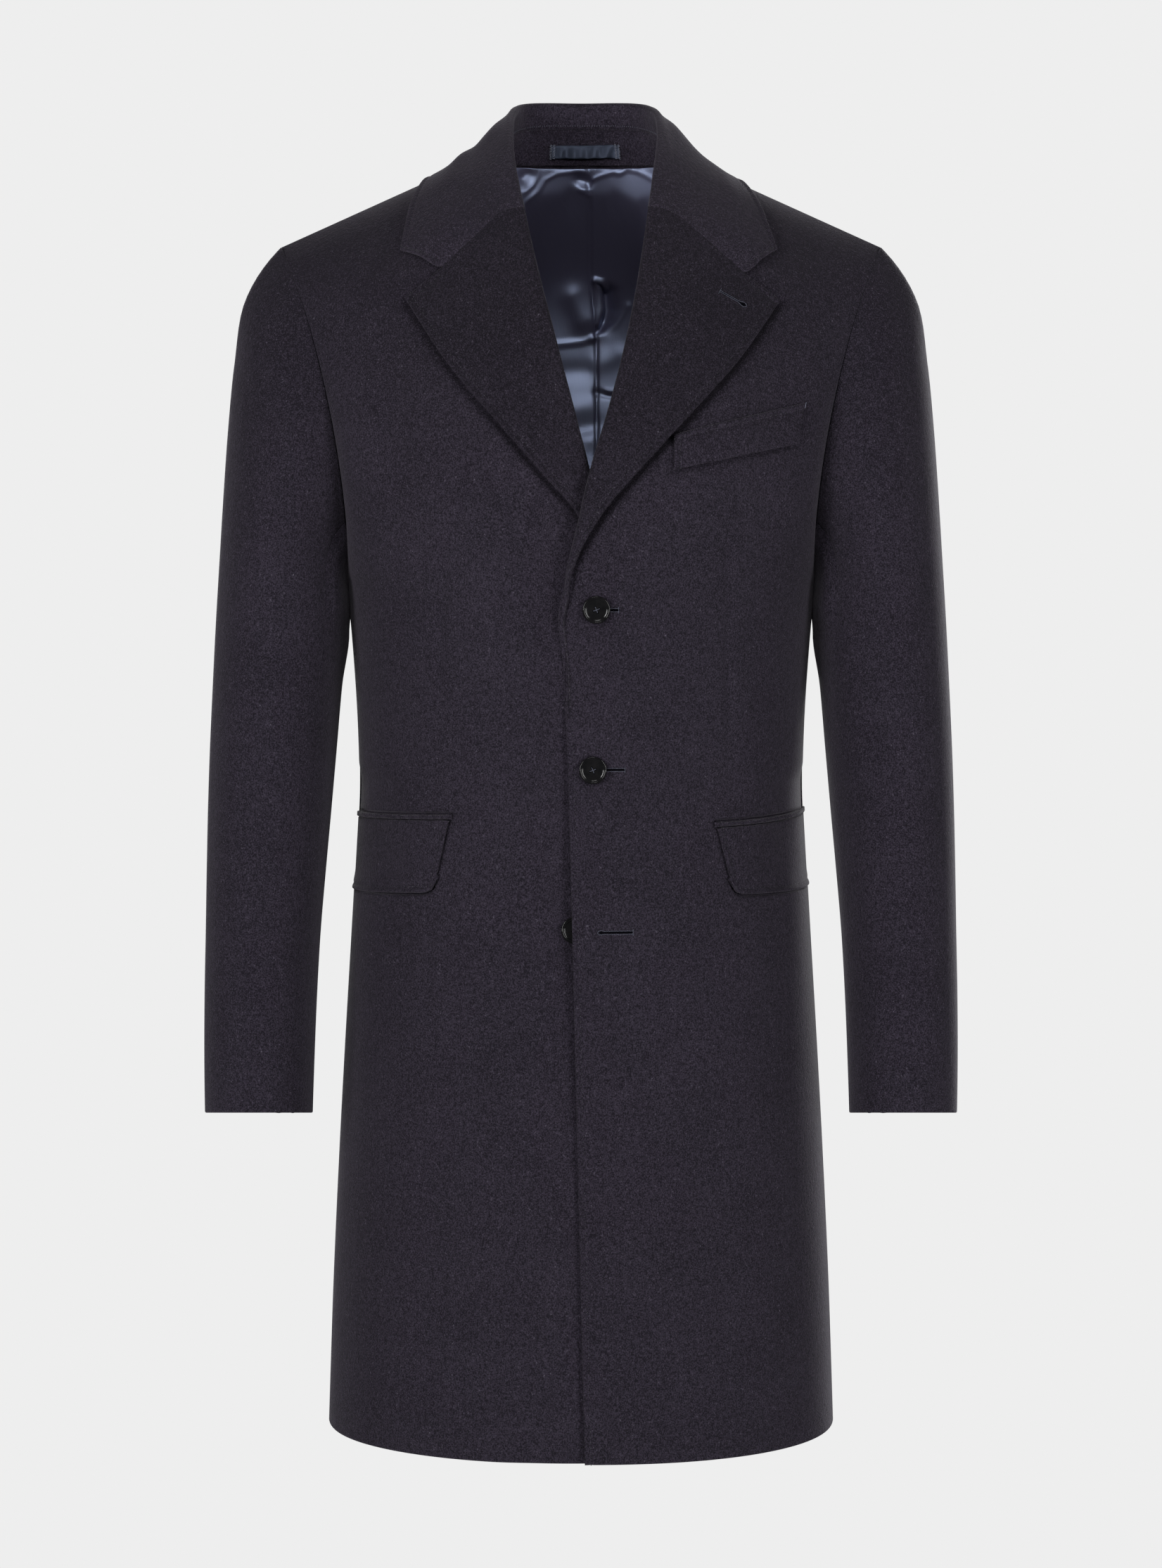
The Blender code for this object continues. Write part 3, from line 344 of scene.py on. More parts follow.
def mix_satin(name, dark, light, ior):
    """Satin between a dark and a light colour, with its gloss across the threads."""
    material, start = blank_material(name)
    cloth = start.node("ShaderNodeUVMap", uv_map="cloth")
    threads = start.node("ShaderNodeMapping", {"Vector": cloth, "Scale": STREAKS}).noise(1.0)
    return coated(material, start, {
        "Base Color": (threads * FLOATS.contrast + FLOATS.base).clamped().between(dark, light),
        "Roughness": threads * ROUGHNESS_SPREAD + FLOATS.roughness, "IOR": ior,
        "Specular Tint": SATIN_GLOSS, "Anisotropic": 0.4,
        "Normal": threads.bump(FLOATS.strength, FLOATS.depth),
    })


SATIN = mix_satin("lining_satin", SATIN_DARK, SATIN_LIGHT, SATIN_IOR)
LOOP_SATIN = mix_satin("loop_satin", LOOP_DARK, LOOP_LIGHT, LOOP_IOR)
print("mixed", SATIN.name, LOOP_SATIN.name)

# %% [markdown]
# ## Buttons, thread and the painted shadow of a slit
# The buttons are polished black resin with a faint marbling. The buttonholes are worked in a slate-blue
# silk twist that is a little lighter than the cloth, and the edges are pricked with a thread close to the
# wool's own colour. Tacks and felling stitches use a pale thread. The cut of a buttonhole is a dark plate,
# a painted shadow for the shade in the cut.

# %% Mix the small finishes
TWIST_BLUE = (0.055, 0.060, 0.092, 1.0)
PRICK_NAVY = (0.017, 0.016, 0.024, 1.0)
TACK_GREY = (0.130, 0.140, 0.190, 1.0)
SLIT_SHADOW_COLOUR = (0.0020, 0.0020, 0.0030, 1.0)
RESIN_BLACK = (0.0035, 0.0035, 0.0040, 1.0)
RESIN_GREY = (0.0085, 0.0080, 0.0085, 1.0)
MARBLING = SimpleNamespace(per_m=160.0, contrast=0.9, base=0.3, roughness=0.09)
PLIES = SimpleNamespace(per_m=1400.0, contrast=0.7, base=0.5, shade=0.55, roughness=0.5, spread=0.2)


def mix_resin():
    """Polished black resin with a faint marbling."""
    material, start = blank_material("button_resin")
    place = start.node("ShaderNodeTexCoord", output="Object")
    clouds = place.noise(MARBLING.per_m, detail=4.0, roughness=0.6)
    marbling = (clouds * MARBLING.contrast + MARBLING.base).clamped()
    return coated(material, start, {
        "Base Color": marbling.between(RESIN_BLACK, RESIN_GREY),
        "Roughness": marbling * ROUGHNESS_SPREAD + MARBLING.roughness, "Specular IOR Level": 0.32,
        "Coat Weight": 0.15, "Coat Roughness": 0.05,
    })


def mix_thread(name, colour, sheen=0.15, specular=0.5):
    """Twisted thread, with painted shade in the dips between its plies."""
    material, start = blank_material(name)
    place = start.node("ShaderNodeTexCoord", output="Object")
    plies = (place.noise(PLIES.per_m) * PLIES.contrast + PLIES.base).clamped()
    # Painted shade in the dips between the plies.
    darker = tuple(PLIES.shade * part for part in colour[:3]) + (1.0,)
    return coated(material, start, {
        "Base Color": plies.between(darker, colour), "Roughness": plies * PLIES.spread + PLIES.roughness,
        "Sheen Weight": sheen, "Sheen Roughness": 0.4, "Specular IOR Level": specular,
    })


RESIN = mix_resin()
TWIST = mix_thread("buttonhole_twist", TWIST_BLUE)
PRICK = mix_thread("prick_thread", PRICK_NAVY)
TACK = mix_thread("tack_thread", TACK_GREY)
# A painted shadow: the slit's plate is near black, with no sheen and no specular.
PAINTED_SLIT_SHADOW = mix_thread("slit_shadow", SLIT_SHADOW_COLOUR, sheen=0.0, specular=0.0)
print("mixed", RESIN.name, TWIST.name, PRICK.name, TACK.name, PAINTED_SLIT_SHADOW.name)

# %% [markdown]
# ## Reading a wall of cloth back as rows and columns
# Each solid of cloth is a grid of points, the same grid moved in by the cloth's thickness, and rims that
# join the two. The frame holds it as loose triangles. The rims are found first, because only their
# triangles have an edge as long as the cloth is thick. What is left are two skins, and the one that faces
# the right way is unrolled: every triangle of a grid takes the same three steps on a lattice, so walking
# from triangle to triangle gives each point its row and column.

# %% Unroll a wall
MERGE = 1e-6
THICKNESS_SLACK = 2e-6
LATTICE = ((1, 0), (0, 1), (-1, -1))
BODY_AXIS = (0.0, 0.02)
WOOL_WALL = 0.0025


def skins_of(node, thickness):
    """The points of a CAD wall, and its two skins as triangles of point numbers."""
    body = bmesh.new()
    body.from_mesh(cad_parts[node].data)
    bmesh.ops.remove_doubles(body, verts=body.verts, dist=MERGE)
    body.verts.index_update()
    body.faces.index_update()
    points = np.array([vert.co for vert in body.verts])
    faces = list(body.faces)
    left = {face.index for face in faces
            if all(abs(edge.calc_length() - thickness) > THICKNESS_SLACK for edge in face.edges)}
    skins = []
    while left:
        queue, skin = [min(left)], []
        left.discard(queue[0])
        while queue:
            face = faces[queue.pop()]
            skin.append([vert.index for vert in face.verts])
            beside = {other.index for edge in face.edges for other in edge.link_faces} & left
            left -= beside
            queue += sorted(beside)
        skins.append(np.array(skin))
    body.free()
    return points, skins


def outwardness(points, skin, pole):
    """How much a skin faces away from an upright axis at the pole's x and y."""
    a, b, c = (points[skin[:, k]] for k in range(3))
    away = ((a + b + c) / 3.0)[:, :2] - pole
    return (np.cross(b - a, c - a)[:, :2] * away).sum()


def unrolled(points, skin):
    """A skin's points and normals in rows and columns, six numbers each."""
    a, b, c = (points[skin[:, k]] for k in range(3))
    normals = np.zeros_like(points)
    for k in range(3):
        np.add.at(normals, skin[:, k], np.cross(b - a, c - a))
    owners = {(face[k], face[(k + 1) % 3]): (f, k) for f, face in enumerate(skin) for k in range(3)}
    for turn in range(3):
        steps = np.roll(LATTICE, turn, axis=0)
        places, queue, seen = {skin[0][0]: np.zeros(2, int)}, [(0, 0, 0, 1)], {0}
        while queue:
            f, corner, step, sign = queue.pop()
            for k in range(3):
                here, there = skin[f][(corner + k) % 3], skin[f][(corner + k + 1) % 3]
                label = (step + k) % 3
                places[there] = places[here] + sign * steps[label]
                other, start = owners.get((there, here), (f, 0))
                if other not in seen:
                    seen.add(other)
                    queue.append((other, start, label, -sign))
        numbers = np.array(list(places))
        spots = np.array(list(places.values()))
        spots -= spots.min(axis=0)
        if (spots.max(axis=0) + 1).prod() == len(numbers):
            grid = np.empty((*(spots.max(axis=0) + 1), 6))
            grid[spots[:, 0], spots[:, 1]] = np.hstack((points, normals))[numbers]
            return grid
    raise ValueError("the skin is not a grid")


def turned(grid, rows_along, columns_along):
    """The grid flipped so that its rows and its columns follow one another in the directions given."""
    flips = [way for base in (grid, grid.transpose(1, 0, 2))
             for way in (base, base[::-1], base[:, ::-1], base[::-1, ::-1])]

    def agreement(way):
        over_rows = (way[-1] - way[0]).mean(axis=0)[:3]
        over_columns = (way[:, -1] - way[:, 0]).mean(axis=0)[:3]
        return over_rows @ rows_along + over_columns @ columns_along

    return max(flips, key=agreement)


flap_points, flap_skins = skins_of("flap_left", WOOL_WALL)
print("a flap's skins have", [len(skin) for skin in flap_skins[:2]], "triangles, in rows and columns:",
      unrolled(flap_points, flap_skins[0]).shape[:2])

# %% [markdown]
# ## From a coarse grid to a fine one
# A cubic through the coarse points keeps them where they are, so seams still meet. Rows and columns are
# placed by their distance along the cloth. Near a sewn edge they lie at fixed distances from it, because
# the prick stitching there presses a narrow groove beside a swelled edge, and a groove needs its own lines
# of points.

# %% Place points along a line
SEAM_LINES = (0.0, 0.0026)
EDGE_LINES = (0.0, 0.0022, 0.0034, 0.0045, 0.0056, 0.0070, 0.0100)
CROWDED = 2.5
TINY = 1e-12


def spline(knots, values, at):
    """Values between knots, on cubics whose slopes are those of a parabola through three knots."""
    widths = np.diff(knots)[:, None]
    steps = np.diff(values, axis=0) / widths
    slopes = np.vstack((steps[:1], steps))
    if len(steps) > 1:
        slopes[1:-1] = (widths[1:] * steps[:-1] + widths[:-1] * steps[1:]) / (widths[1:] + widths[:-1])
        slopes[0] = 2.0 * steps[0] - slopes[1]
        slopes[-1] = 2.0 * steps[-1] - slopes[-2]
    i = np.clip(np.searchsorted(knots, at, side="right") - 1, 0, len(steps) - 1)
    width = widths[i]
    s = (at - knots[i])[:, None] / width
    bend = s * (1.0 - s) * width * ((1.0 - s) * slopes[i] - s * slopes[i + 1])
    rise = s ** 2 * (3.0 - 2.0 * s)
    return values[i] + rise * (values[i + 1] - values[i]) + bend


def distances(line):
    """The distance of each point along a line of points."""
    return np.insert(np.cumsum(np.linalg.norm(np.diff(line, axis=0), axis=-1)), 0, 0.0)


def stations(length, count, near_start, near_end):
    """Places along a line: at fixed distances near its ends, and evenly between."""
    shrink = min(1.0, length / (CROWDED * (near_start[-1] + near_end[-1])))
    start, end = shrink * np.array(near_start), length - shrink * np.array(near_end)[::-1]
    return np.concatenate((start, np.linspace(start[-1], end[0], count + 2)[1:-1], end))


def grid_quads(number):
    """The quads of a grid of point numbers."""
    corners = (number[:-1, :-1], number[:-1, 1:], number[1:, 1:], number[1:, :-1])
    return np.stack(corners, axis=-1).reshape(-1, 4)


def ease(share):
    """Goes smoothly from 0 to 1."""
    held = np.clip(share, 0.0, 1.0)
    return held ** 2 * (3.0 - 2.0 * held)


def unit(vectors):
    """The vectors made 1 long."""
    return vectors / np.maximum(np.linalg.norm(vectors, axis=-1, keepdims=True), TINY)


print("lines across a strip of 50 mm:", stations(0.050, 3, EDGE_LINES, SEAM_LINES).round(4))

# %% [markdown]
# ## Cloth as a grid
# The fine grid keeps its points and their distances along the cloth. Whatever shapes a piece later moves
# these points, mostly along their normals. Where a pocket's fine lines are pressed into a front, the rows
# lie closer together, and where cloth is never seen, most of its lines are left out again.

# %% Hold a piece of cloth
CORNER_COLUMNS = 3.0
PAST_EDGE = 0.9
BAND_STEP = 0.0007
THINNING = 4


class Cloth:
    """One piece of cloth as a fine grid: points, normals, and distances along its rows and columns."""

    def __init__(self, coarse, step, lines, corner=None, bands=()):
        """lines gives the lines near the low, high, start and end edges. A corner is a row where the start
        edge turns sharply. Bands are heights between which the rows lie close together."""
        points = coarse[..., :3]
        run = np.mean([distances(points[:, c]) for c in range(points.shape[1])], axis=0)
        down = stations(run[-1], int(run[-1] / step), lines.low, lines.high)
        for band in bands:
            low, high = np.interp(band, points[..., 2].mean(axis=1), run)
            close = np.arange(low, high, BAND_STEP)
            down = np.concatenate((down[down < low - BAND_STEP], close, down[down > high + BAND_STEP]))
        finer = self.between_rows(points, run, down)
        if corner:
            low, high = down <= run[corner], down > run[corner]
            split = np.concatenate((
                self.between_rows(points[:corner + 1], run[:corner + 1], down[low]),
                self.between_rows(points[corner:], run[corner:], down[high])))
            share = np.clip(1.0 - np.arange(points.shape[1]) / CORNER_COLUMNS, 0.0, 1.0)[:, None]
            finer = finer + share * (split - finer)
        self.columns_at = np.array([distances(row) for row in finer])
        count = int(self.columns_at[:, -1].max() / step)
        across = [stations(own[-1], count, lines.start, lines.end) for own in self.columns_at]
        self.points = np.array([spline(*row) for row in zip(self.columns_at, finer, across)])
        self.across = np.array(across)
        self.down = np.broadcast_to(down[:, None], self.across.shape)
        self.hand = 1.0
        if (self.normals() * self.sampled_normals(coarse)).sum() <= 0.0:
            self.hand = -1.0

    @staticmethod
    def between_rows(points, run, down):
        """Rows between the rows given, each column on a spline along its own length."""
        columns = []
        for c in range(points.shape[1]):
            own = distances(points[:, c])
            columns.append(spline(own, points[:, c], np.interp(down, run, own)))
        return np.stack(columns, axis=1)

    def sampled_normals(self, coarse):
        """The coarse normals nearest to each fine point, only good enough to tell the two sides apart."""
        rows, columns = self.across.shape
        r = np.linspace(0, coarse.shape[0] - 1, rows).round().astype(int)
        c = np.linspace(0, coarse.shape[1] - 1, columns).round().astype(int)
        return unit(coarse[..., 3:])[np.ix_(r, c)]

    def normals(self):
        """The normals of the side that is seen. The hand, 1 or -1, says which side that is."""
        over_rows = np.gradient(self.points, axis=0)
        over_columns = np.gradient(self.points, axis=1)
        return unit(np.cross(over_columns, over_rows)) * self.hand

    def press(self, heights):
        """Moves the points along their normals."""
        self.points = self.points + self.normals() * heights[..., None]

    def from_edge(self, edge):
        """Each point's distance from the low, high, start or end edge."""
        return {"low": self.down, "high": self.down.max() - self.down, "start": self.across,
                "end": self.across[:, -1:] - self.across}[edge]

    def line(self, edge, distance, values):
        """Values along the grid line that lies nearest to a distance from an edge."""
        axis = 0 if edge in ("low", "high") else 1
        place = np.abs(self.from_edge(edge).mean(axis=1 - axis) - distance).argmin()
        return values.take(place, axis=axis)

    def tree(self):
        """A search tree over the outer points, whose normals point out if the hand is right."""
        quads = grid_quads(np.arange(self.across.size).reshape(self.across.shape))
        return BVHTree.FromPolygons([Vector(p) for p in self.points.reshape(-1, 3)], quads.tolist())

    def smooth_rows(self, reach, share):
        """Evens out bumps shorter than the reach from row to row, and keeps longer curves."""
        place = self.down[:, 0]
        weights = np.exp(-((place[:, None] - place) / reach) ** 2) * np.gradient(place)
        weights /= weights.sum(axis=1, keepdims=True)
        once = np.einsum("ij,jkl->ikl", weights, self.points)
        twice = np.einsum("ij,jkl->ikl", weights, once)
        self.points = self.points + share[..., None] * (2.0 * once - twice - self.points)

    def settle(self, panels, height, share):
        """Raises the points that lie too near to panels, and lowers the others by a share of the rest."""
        trees = [(panel.tree(), panel.hand) for panel in panels]
        moved = self.points.copy()
        for place in np.ndindex(*self.across.shape):
            point = Vector(self.points[place])
            found = [(*tree.find_nearest(point), hand) for tree, hand in trees]
            near, normal, _, gap, hand = min(found, key=lambda hit: hit[3])
            out = normal * hand
            rise = (point - near).dot(out)
            if abs(rise) > PAST_EDGE * gap:
                spare = height - rise
                moved[place] += np.array(out) * (spare if spare > 0.0 else spare * share[place])
        self.points = moved

    def thin(self, rows, columns):
        """Keeps every line that is seen, as rows and columns mark it, and one in a few elsewhere."""
        kept = []
        for seen in (rows, columns):
            number = np.arange(len(seen))
            kept.append(number[seen | (number % THINNING == 0) | (number == number[-1])])
        lines = np.ix_(*kept)
        self.points, self.across, self.down = self.points[lines], self.across[lines], self.down[lines]

    def area(self):
        """The area of one side."""
        a, b = self.points[1:, 1:] - self.points[:-1, :-1], self.points[1:, :-1] - self.points[:-1, 1:]
        return np.linalg.norm(np.cross(a, b), axis=-1).sum() / 2.0


print("unseen cloth keeps one line in", THINNING)

# %% [markdown]
# ## Grooves, creases and ridges
# Three kinds of relief are pressed in: a groove along a sewn edge, a crease that tapers to both of its ends,
# and a ridge or a trough along a line. Each has the section of a bell curve, because thick cloth has no
# sharp bends.

# %% Press relief into cloth
GROOVE_AT = 0.0045
GROOVE_WIDTH = 0.0011
GROOVE_DEPTH = 0.0006
SWELL = 0.0003
NOTCH_COLUMNS = 2
NOTCH_FADE = 0.004
CREASE_SEEN = SimpleNamespace(gain=2.0, off=0.3)
CREASE_TAPER = 0.8


def past_notch(cloth):
    """How far each point is past the notch, where the gorge seam ends and the edges are free: 0 to 1."""
    notch = cloth.columns_at[:, -1 - NOTCH_COLUMNS][:, None]
    return np.clip((cloth.across - notch) / NOTCH_FADE, 0.0, 1.0)


def swelled(cloth, edge, share):
    """Presses a prick-stitched groove beside an edge and swells the cloth outside it."""
    distance = cloth.from_edge(edge)
    groove = -GROOVE_DEPTH * np.exp(-((distance - GROOVE_AT) / GROOVE_WIDTH) ** 2)
    swell = SWELL * np.clip(1.0 - distance / GROOVE_AT, 0.0, 1.0)
    cloth.press((groove + swell) * share)


def creased(cloth, creases):
    """Presses creases that are drawn on the front (face -1) or the back (face 1) as x and z."""
    heights = np.zeros(cloth.across.shape)
    facing = cloth.normals()[..., 1]
    for crease in creases:
        start = np.array((crease.x, crease.z))
        along = np.array((crease.x_end, crease.z_end)) - start
        length = np.linalg.norm(along)
        offset = cloth.points[..., [0, 2]] - start
        share = offset @ along / length ** 2
        side = (offset[..., 0] * along[1] - offset[..., 1] * along[0]) / length
        side = side - crease.bow * 4.0 * share * (1.0 - share)
        taper = np.sin(np.pi * np.clip(share, 0.0, 1.0)) ** CREASE_TAPER
        seen = np.clip(facing * crease.face * CREASE_SEEN.gain - CREASE_SEEN.off, 0.0, 1.0)
        heights += crease.height * np.exp(-(side / crease.width) ** 2) * taper * seen
    cloth.press(heights)


def line_distance(cloth, line):
    """Each point's distance from a line, both as x and z."""
    spots = cloth.points[..., [0, 2]]
    corners = np.array(line)
    run = distances(corners)
    nearest = np.full(cloth.across.shape, np.inf)
    for a, b, start, end in zip(corners, corners[1:], run, run[1:]):
        share = np.clip((spots - a) @ (b - a) / (end - start) ** 2, 0.0, 1.0)
        gap = np.linalg.norm(spots - a - share[..., None] * (b - a), axis=-1)
        nearest = np.minimum(gap, nearest)
    return nearest


def ridged(cloth, width, height, line):
    """Raises a ridge along a line, or presses a trough if its height, one or many, is below 0."""
    cloth.press(height * np.exp(-(line_distance(cloth, line) / width) ** 2))


print("a sewn edge's groove lies", 1000.0 * GROOVE_AT, "mm from it")

# %% [markdown]
# ## Closing a grid into a shell
# The same points moved in by the thickness make the inner side. At a folded edge, such as a hem or a
# lapel's edge, the rim is nearly a half circle, as cloth turned under is. At a seam it only has a small
# radius, so that two pieces meet in a fine line. The rim is built from rings along two quarter circles.

# %% Close a grid
ROUND = 0.46
SEAM_RADIUS = 0.0006
SEAM_REACH = 0.0004
RIM_ANGLES = np.radians((30.0, 60.0, 90.0))


def outward(points, r, c):
    """The direction that leads out of the grid at a point of its border."""
    last_row, last_column = points.shape[0] - 1, points.shape[1] - 1
    way = np.zeros(3)
    for place, last, inner in ((r, last_row, (1, 0)), (c, last_column, (0, 1))):
        if place in (0, last):
            sign = 1 if place == 0 else -1
            way += unit(points[r, c] - points[r + sign * inner[0], c + sign * inner[1]])
    return unit(way)


def border(rows, columns):
    """The border's places in order, once round."""
    low, high = [(0, c) for c in range(columns - 1)], [(rows - 1, c) for c in range(columns - 1, 0, -1)]
    end, start = [(r, columns - 1) for r in range(rows - 1)], [(r, 0) for r in range(rows - 1, 0, -1)]
    return low + end + high + start


def rim_sizes(place, shape, thickness, folded, free):
    """A rim's radius and how far the grid draws back for it: a seam's rim reaches into its neighbour's."""
    edges = {"low": place[0] == 0, "high": place[0] == shape[0] - 1,
             "start": place[1] == 0, "end": place[1] == shape[1] - 1}
    if free[place] > 0.0 and all(edge in folded for edge, here in edges.items() if here):
        return ROUND * thickness, ROUND * thickness
    radius = min(SEAM_RADIUS, ROUND * thickness)
    return radius, radius - SEAM_REACH


def add_piece(name, mesh, material):
    """Adds a mesh to the scene as a piece of the coat."""
    mesh.materials.clear()
    mesh.materials.append(material)
    mesh.shade_smooth()
    piece = put(name, mesh)
    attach(piece, "root")
    return piece


def shell(name, cloth, thickness, material, folded, free):
    """Closes a cloth's grid into a thin shell and adds it to the scene."""
    shape = cloth.across.shape
    places = border(*shape)
    normals = cloth.normals()
    points = cloth.points.copy()
    out = np.array([outward(cloth.points, *place) for place in places])
    sizes = np.array([rim_sizes(place, shape, thickness, folded, free) for place in places])
    radius, back = sizes[:, :1], sizes[:, 1:]
    r, c = np.array(places).T
    points[r, c] -= out * back
    inner = points - normals * thickness
    at = normals[r, c]
    turn = [(1.0 - np.cos(angle), np.sin(angle)) for angle in RIM_ANGLES]
    rings = [points[r, c] - at * radius * sink + out * radius * reach for sink, reach in turn]
    rings += [inner[r, c] + at * radius * sink + out * radius * reach for sink, reach in turn[::-1]]
    count, loop = shape[0] * shape[1], len(places)
    number = np.arange(count).reshape(shape)
    quads = grid_quads(number)
    loops = [number[r, c]] + [2 * count + k * loop + np.arange(loop) for k in range(len(rings))]
    loops.append(number[r, c] + count)
    rims = [np.stack((a, b, np.roll(b, -1), np.roll(a, -1)), axis=-1) for a, b in zip(loops, loops[1:])]
    faces = np.vstack((quads, quads[:, ::-1] + count, *rims))
    faces = faces if cloth.hand > 0.0 else faces[:, ::-1]
    flat = np.stack((cloth.across, cloth.down), axis=-1)
    flats = np.vstack((flat.reshape(-1, 2), flat.reshape(-1, 2), np.tile(flat[r, c], (len(rings), 1))))
    mesh = bpy.data.meshes.new(name)
    mesh.from_pydata(np.vstack((points.reshape(-1, 3), inner.reshape(-1, 3), *rings)), [], faces.tolist())
    mesh.uv_layers.new(name="cloth").data.foreach_set("uv", flats[faces.ravel()].ravel())
    return add_piece(name, mesh, material)


print("a rim has", 2 * len(RIM_ANGLES), "rings, and the border of 3 by 4 points has", len(border(3, 4)))

# %% [markdown]
# ## The coat's pieces
# This table says, for each solid of cloth, how thick it is, which way its rows and columns run, how far
# apart its fine lines lie, which of its edges are sewn with a groove and which are folded round. An edge in
# the gorge is sewn down as far as the notch and free beyond it. Rows run up from the hem or the cuff, and
# columns run out from the middle of the coat or back from the front seam.

# %% Name the pieces
JET_WALL = 0.0018
SATIN_WALL = 0.0010
UP, DOWN, LEFT, RIGHT, BACK = (0, 0, 1), (0, 0, -1), (1, 0, 0), (-1, 0, 0), (0, 1, 0)
OUT = {"left": LEFT, "right": RIGHT}
SIDES = tuple(OUT)
EDGES = ("low", "high", "start", "end")
TIPS = ("low", "high")
SLEEVE_STEPS = {"top": 0.0060, "under": 0.0065}


def for_sides(name, wall, step, grooved, folded, gorge=()):
    """A row of the table for each side of the coat, with columns that run out from the middle."""
    return [(f"{name}_{side}", wall, UP, OUT[side], step, grooved, folded, gorge, False) for side in SIDES]


PIECES = table(
    "node wall rows columns step grooved folded gorge inside",
    *for_sides("front", WOOL_WALL, 0.0030, ("start",), ("low", "start")),
    *for_sides("back", WOOL_WALL, 0.0065, (), ("low",)),
    *[(f"sleeve_{side}_{half}", WOOL_WALL, UP, BACK, step, (), ("low",), (), False)
      for side in SIDES for half, step in SLEEVE_STEPS.items()],
    *for_sides("lapel", WOOL_WALL, 0.0040, ("end", "high"), ("end", "high"), ("high",)),
    ("collar", WOOL_WALL, LEFT, DOWN, 0.0035, ("end", *TIPS), ("end", *TIPS), TIPS, False),
    ("collar_stand", WOOL_WALL, UP, LEFT, 0.0050, (), (), (), True),
    *for_sides("flap", WOOL_WALL, 0.0018, ("low", "start"), ("low", "start", "end")),
    *for_sides("jet", JET_WALL, 0.0012, (), EDGES),
    ("chest_welt", WOOL_WALL, UP, LEFT, 0.0020, ("high", "start"), ("high", "start", "end"), (), False),
    ("lining_back", SATIN_WALL, UP, LEFT, 0.0017, (), (), (), True),
    ("hanger_loop", SATIN_WALL, UP, LEFT, 0.0020, (), EDGES, (), True),
)
HALVES = {"lining_back": ("lining_back_right", "lining_back_left")}


def nodes_of(piece):
    """The solids that a piece stands for."""
    return HALVES.get(piece.node, (piece.node,))


def coarse_grid(piece):
    """A piece's rows and columns as the solids give them, from the skin that is seen."""
    grids = []
    for node in nodes_of(piece):
        points, skins = skins_of(node, piece.wall)
        pole = points[:, :2].mean(axis=0) if node.startswith("sleeve") else np.array(BODY_AXIS)
        order = sorted(skins[:2], key=lambda skin: outwardness(points, skin, pole))
        skin = order[0 if piece.inside else -1]
        grids.append(turned(unrolled(points, skin), np.array(piece.rows), np.array(piece.columns)))
    return np.concatenate(grids, axis=1)


def near_lines(piece):
    """The lines of points beside each of a piece's edges."""
    return SimpleNamespace(**{edge: EDGE_LINES if edge in piece.grooved else SEAM_LINES for edge in EDGES})


coarse = {piece.node: coarse_grid(piece) for piece in PIECES}
print({node: grid.shape[:2] for node, grid in coarse.items()})

# %% [markdown]
# ## The fine cloth
# A lapel turns at the break, where the fronts begin to cross, but its edge doesn't end there. It runs on
# down the front's edge as a narrow strip that slowly sinks in. The over-front swings out a little there.
# A front's edge turns sharply at the break, and its rows lie close together round its flap and jet.

# %% Make the cloth fine
BREAK_ROW = 14
BAND_MARGIN = 0.006
EDGE_SWING = (
    (-0.4500, 0.0), (-0.3792, -0.0017), (-0.3432, -0.0017), (-0.3289, -0.0018), (-0.3253, -0.0026),
    (-0.3186, -0.0035), (-0.3093, -0.0039), (-0.2975, -0.0022), (-0.2867, -0.0012), (-0.2700, 0.0),
)
SWING_FROM_X = 0.035
SWING_WIDTH = 0.030
TAIL = table(
    "down outside width height",
    (0.095, 0.0006, 0.0046, -0.0004), (0.075, 0.0005, 0.0046, 0.0001), (0.055, 0.0004, 0.0046, 0.0005),
    (0.038, 0.0003, 0.0046, 0.0009), (0.022, 0.0001, 0.0048, 0.0014), (0.010, -0.0002, 0.0050, 0.0022),
)
DRAWN_IN = (0.0030, 0.0016, 0.0006)


def with_tail(lapel, front):
    """Lengthens a lapel below the break as a strip along the front's edge that slowly sinks into it."""
    edge = front[BREAK_ROW::-1, 0, :3]
    inward = unit(front[BREAK_ROW::-1, 1, :3] - edge)
    normal = unit(front[BREAK_ROW::-1, 0, 3:])
    offset = lapel[0, :, :3] - edge[0]
    across, rise = offset @ inward[0], offset @ normal[0]
    across = (across - across.min()) / (across[-1] - across.min())
    rise = (rise - rise[0]) / (rise[-1] - rise[0])
    run = distances(edge)
    rows = []
    for row in TAIL:
        at = np.array([row.down])
        place, along, up = (spline(run, values, at)[0] for values in (edge, inward, normal))
        reach = row.outside + across * (row.width - row.outside)
        above = rise * (row.height + WOOL_WALL) - WOOL_WALL
        points = place + np.outer(reach, unit(along)) + np.outer(above, unit(up))
        rows.append(np.hstack((points, lapel[0, :, 3:])))
    drawn = lapel.copy()
    for r, shift in enumerate(DRAWN_IN):
        drawn[r, :, :3] += inward[0] * shift
    return np.concatenate((np.array(rows), drawn))


def swung(cloth):
    """Swings the over-front's edge out below the break, so that it runs down in one smooth curve."""
    x, z = cloth.points[..., 0], cloth.points[..., 2]
    cloth.points[..., 0] += np.interp(z, *np.array(EDGE_SWING).T) * ease((SWING_FROM_X - x) / SWING_WIDTH)


def pocket_bands(side):
    """The heights round a flap's low edge and round the jet above it."""
    edges = (coarse[f"flap_{side}"][0, :, 2], coarse[f"jet_{side}"][..., 2])
    return [(edge.min() - BAND_MARGIN, edge.max() + BAND_MARGIN) for edge in edges]


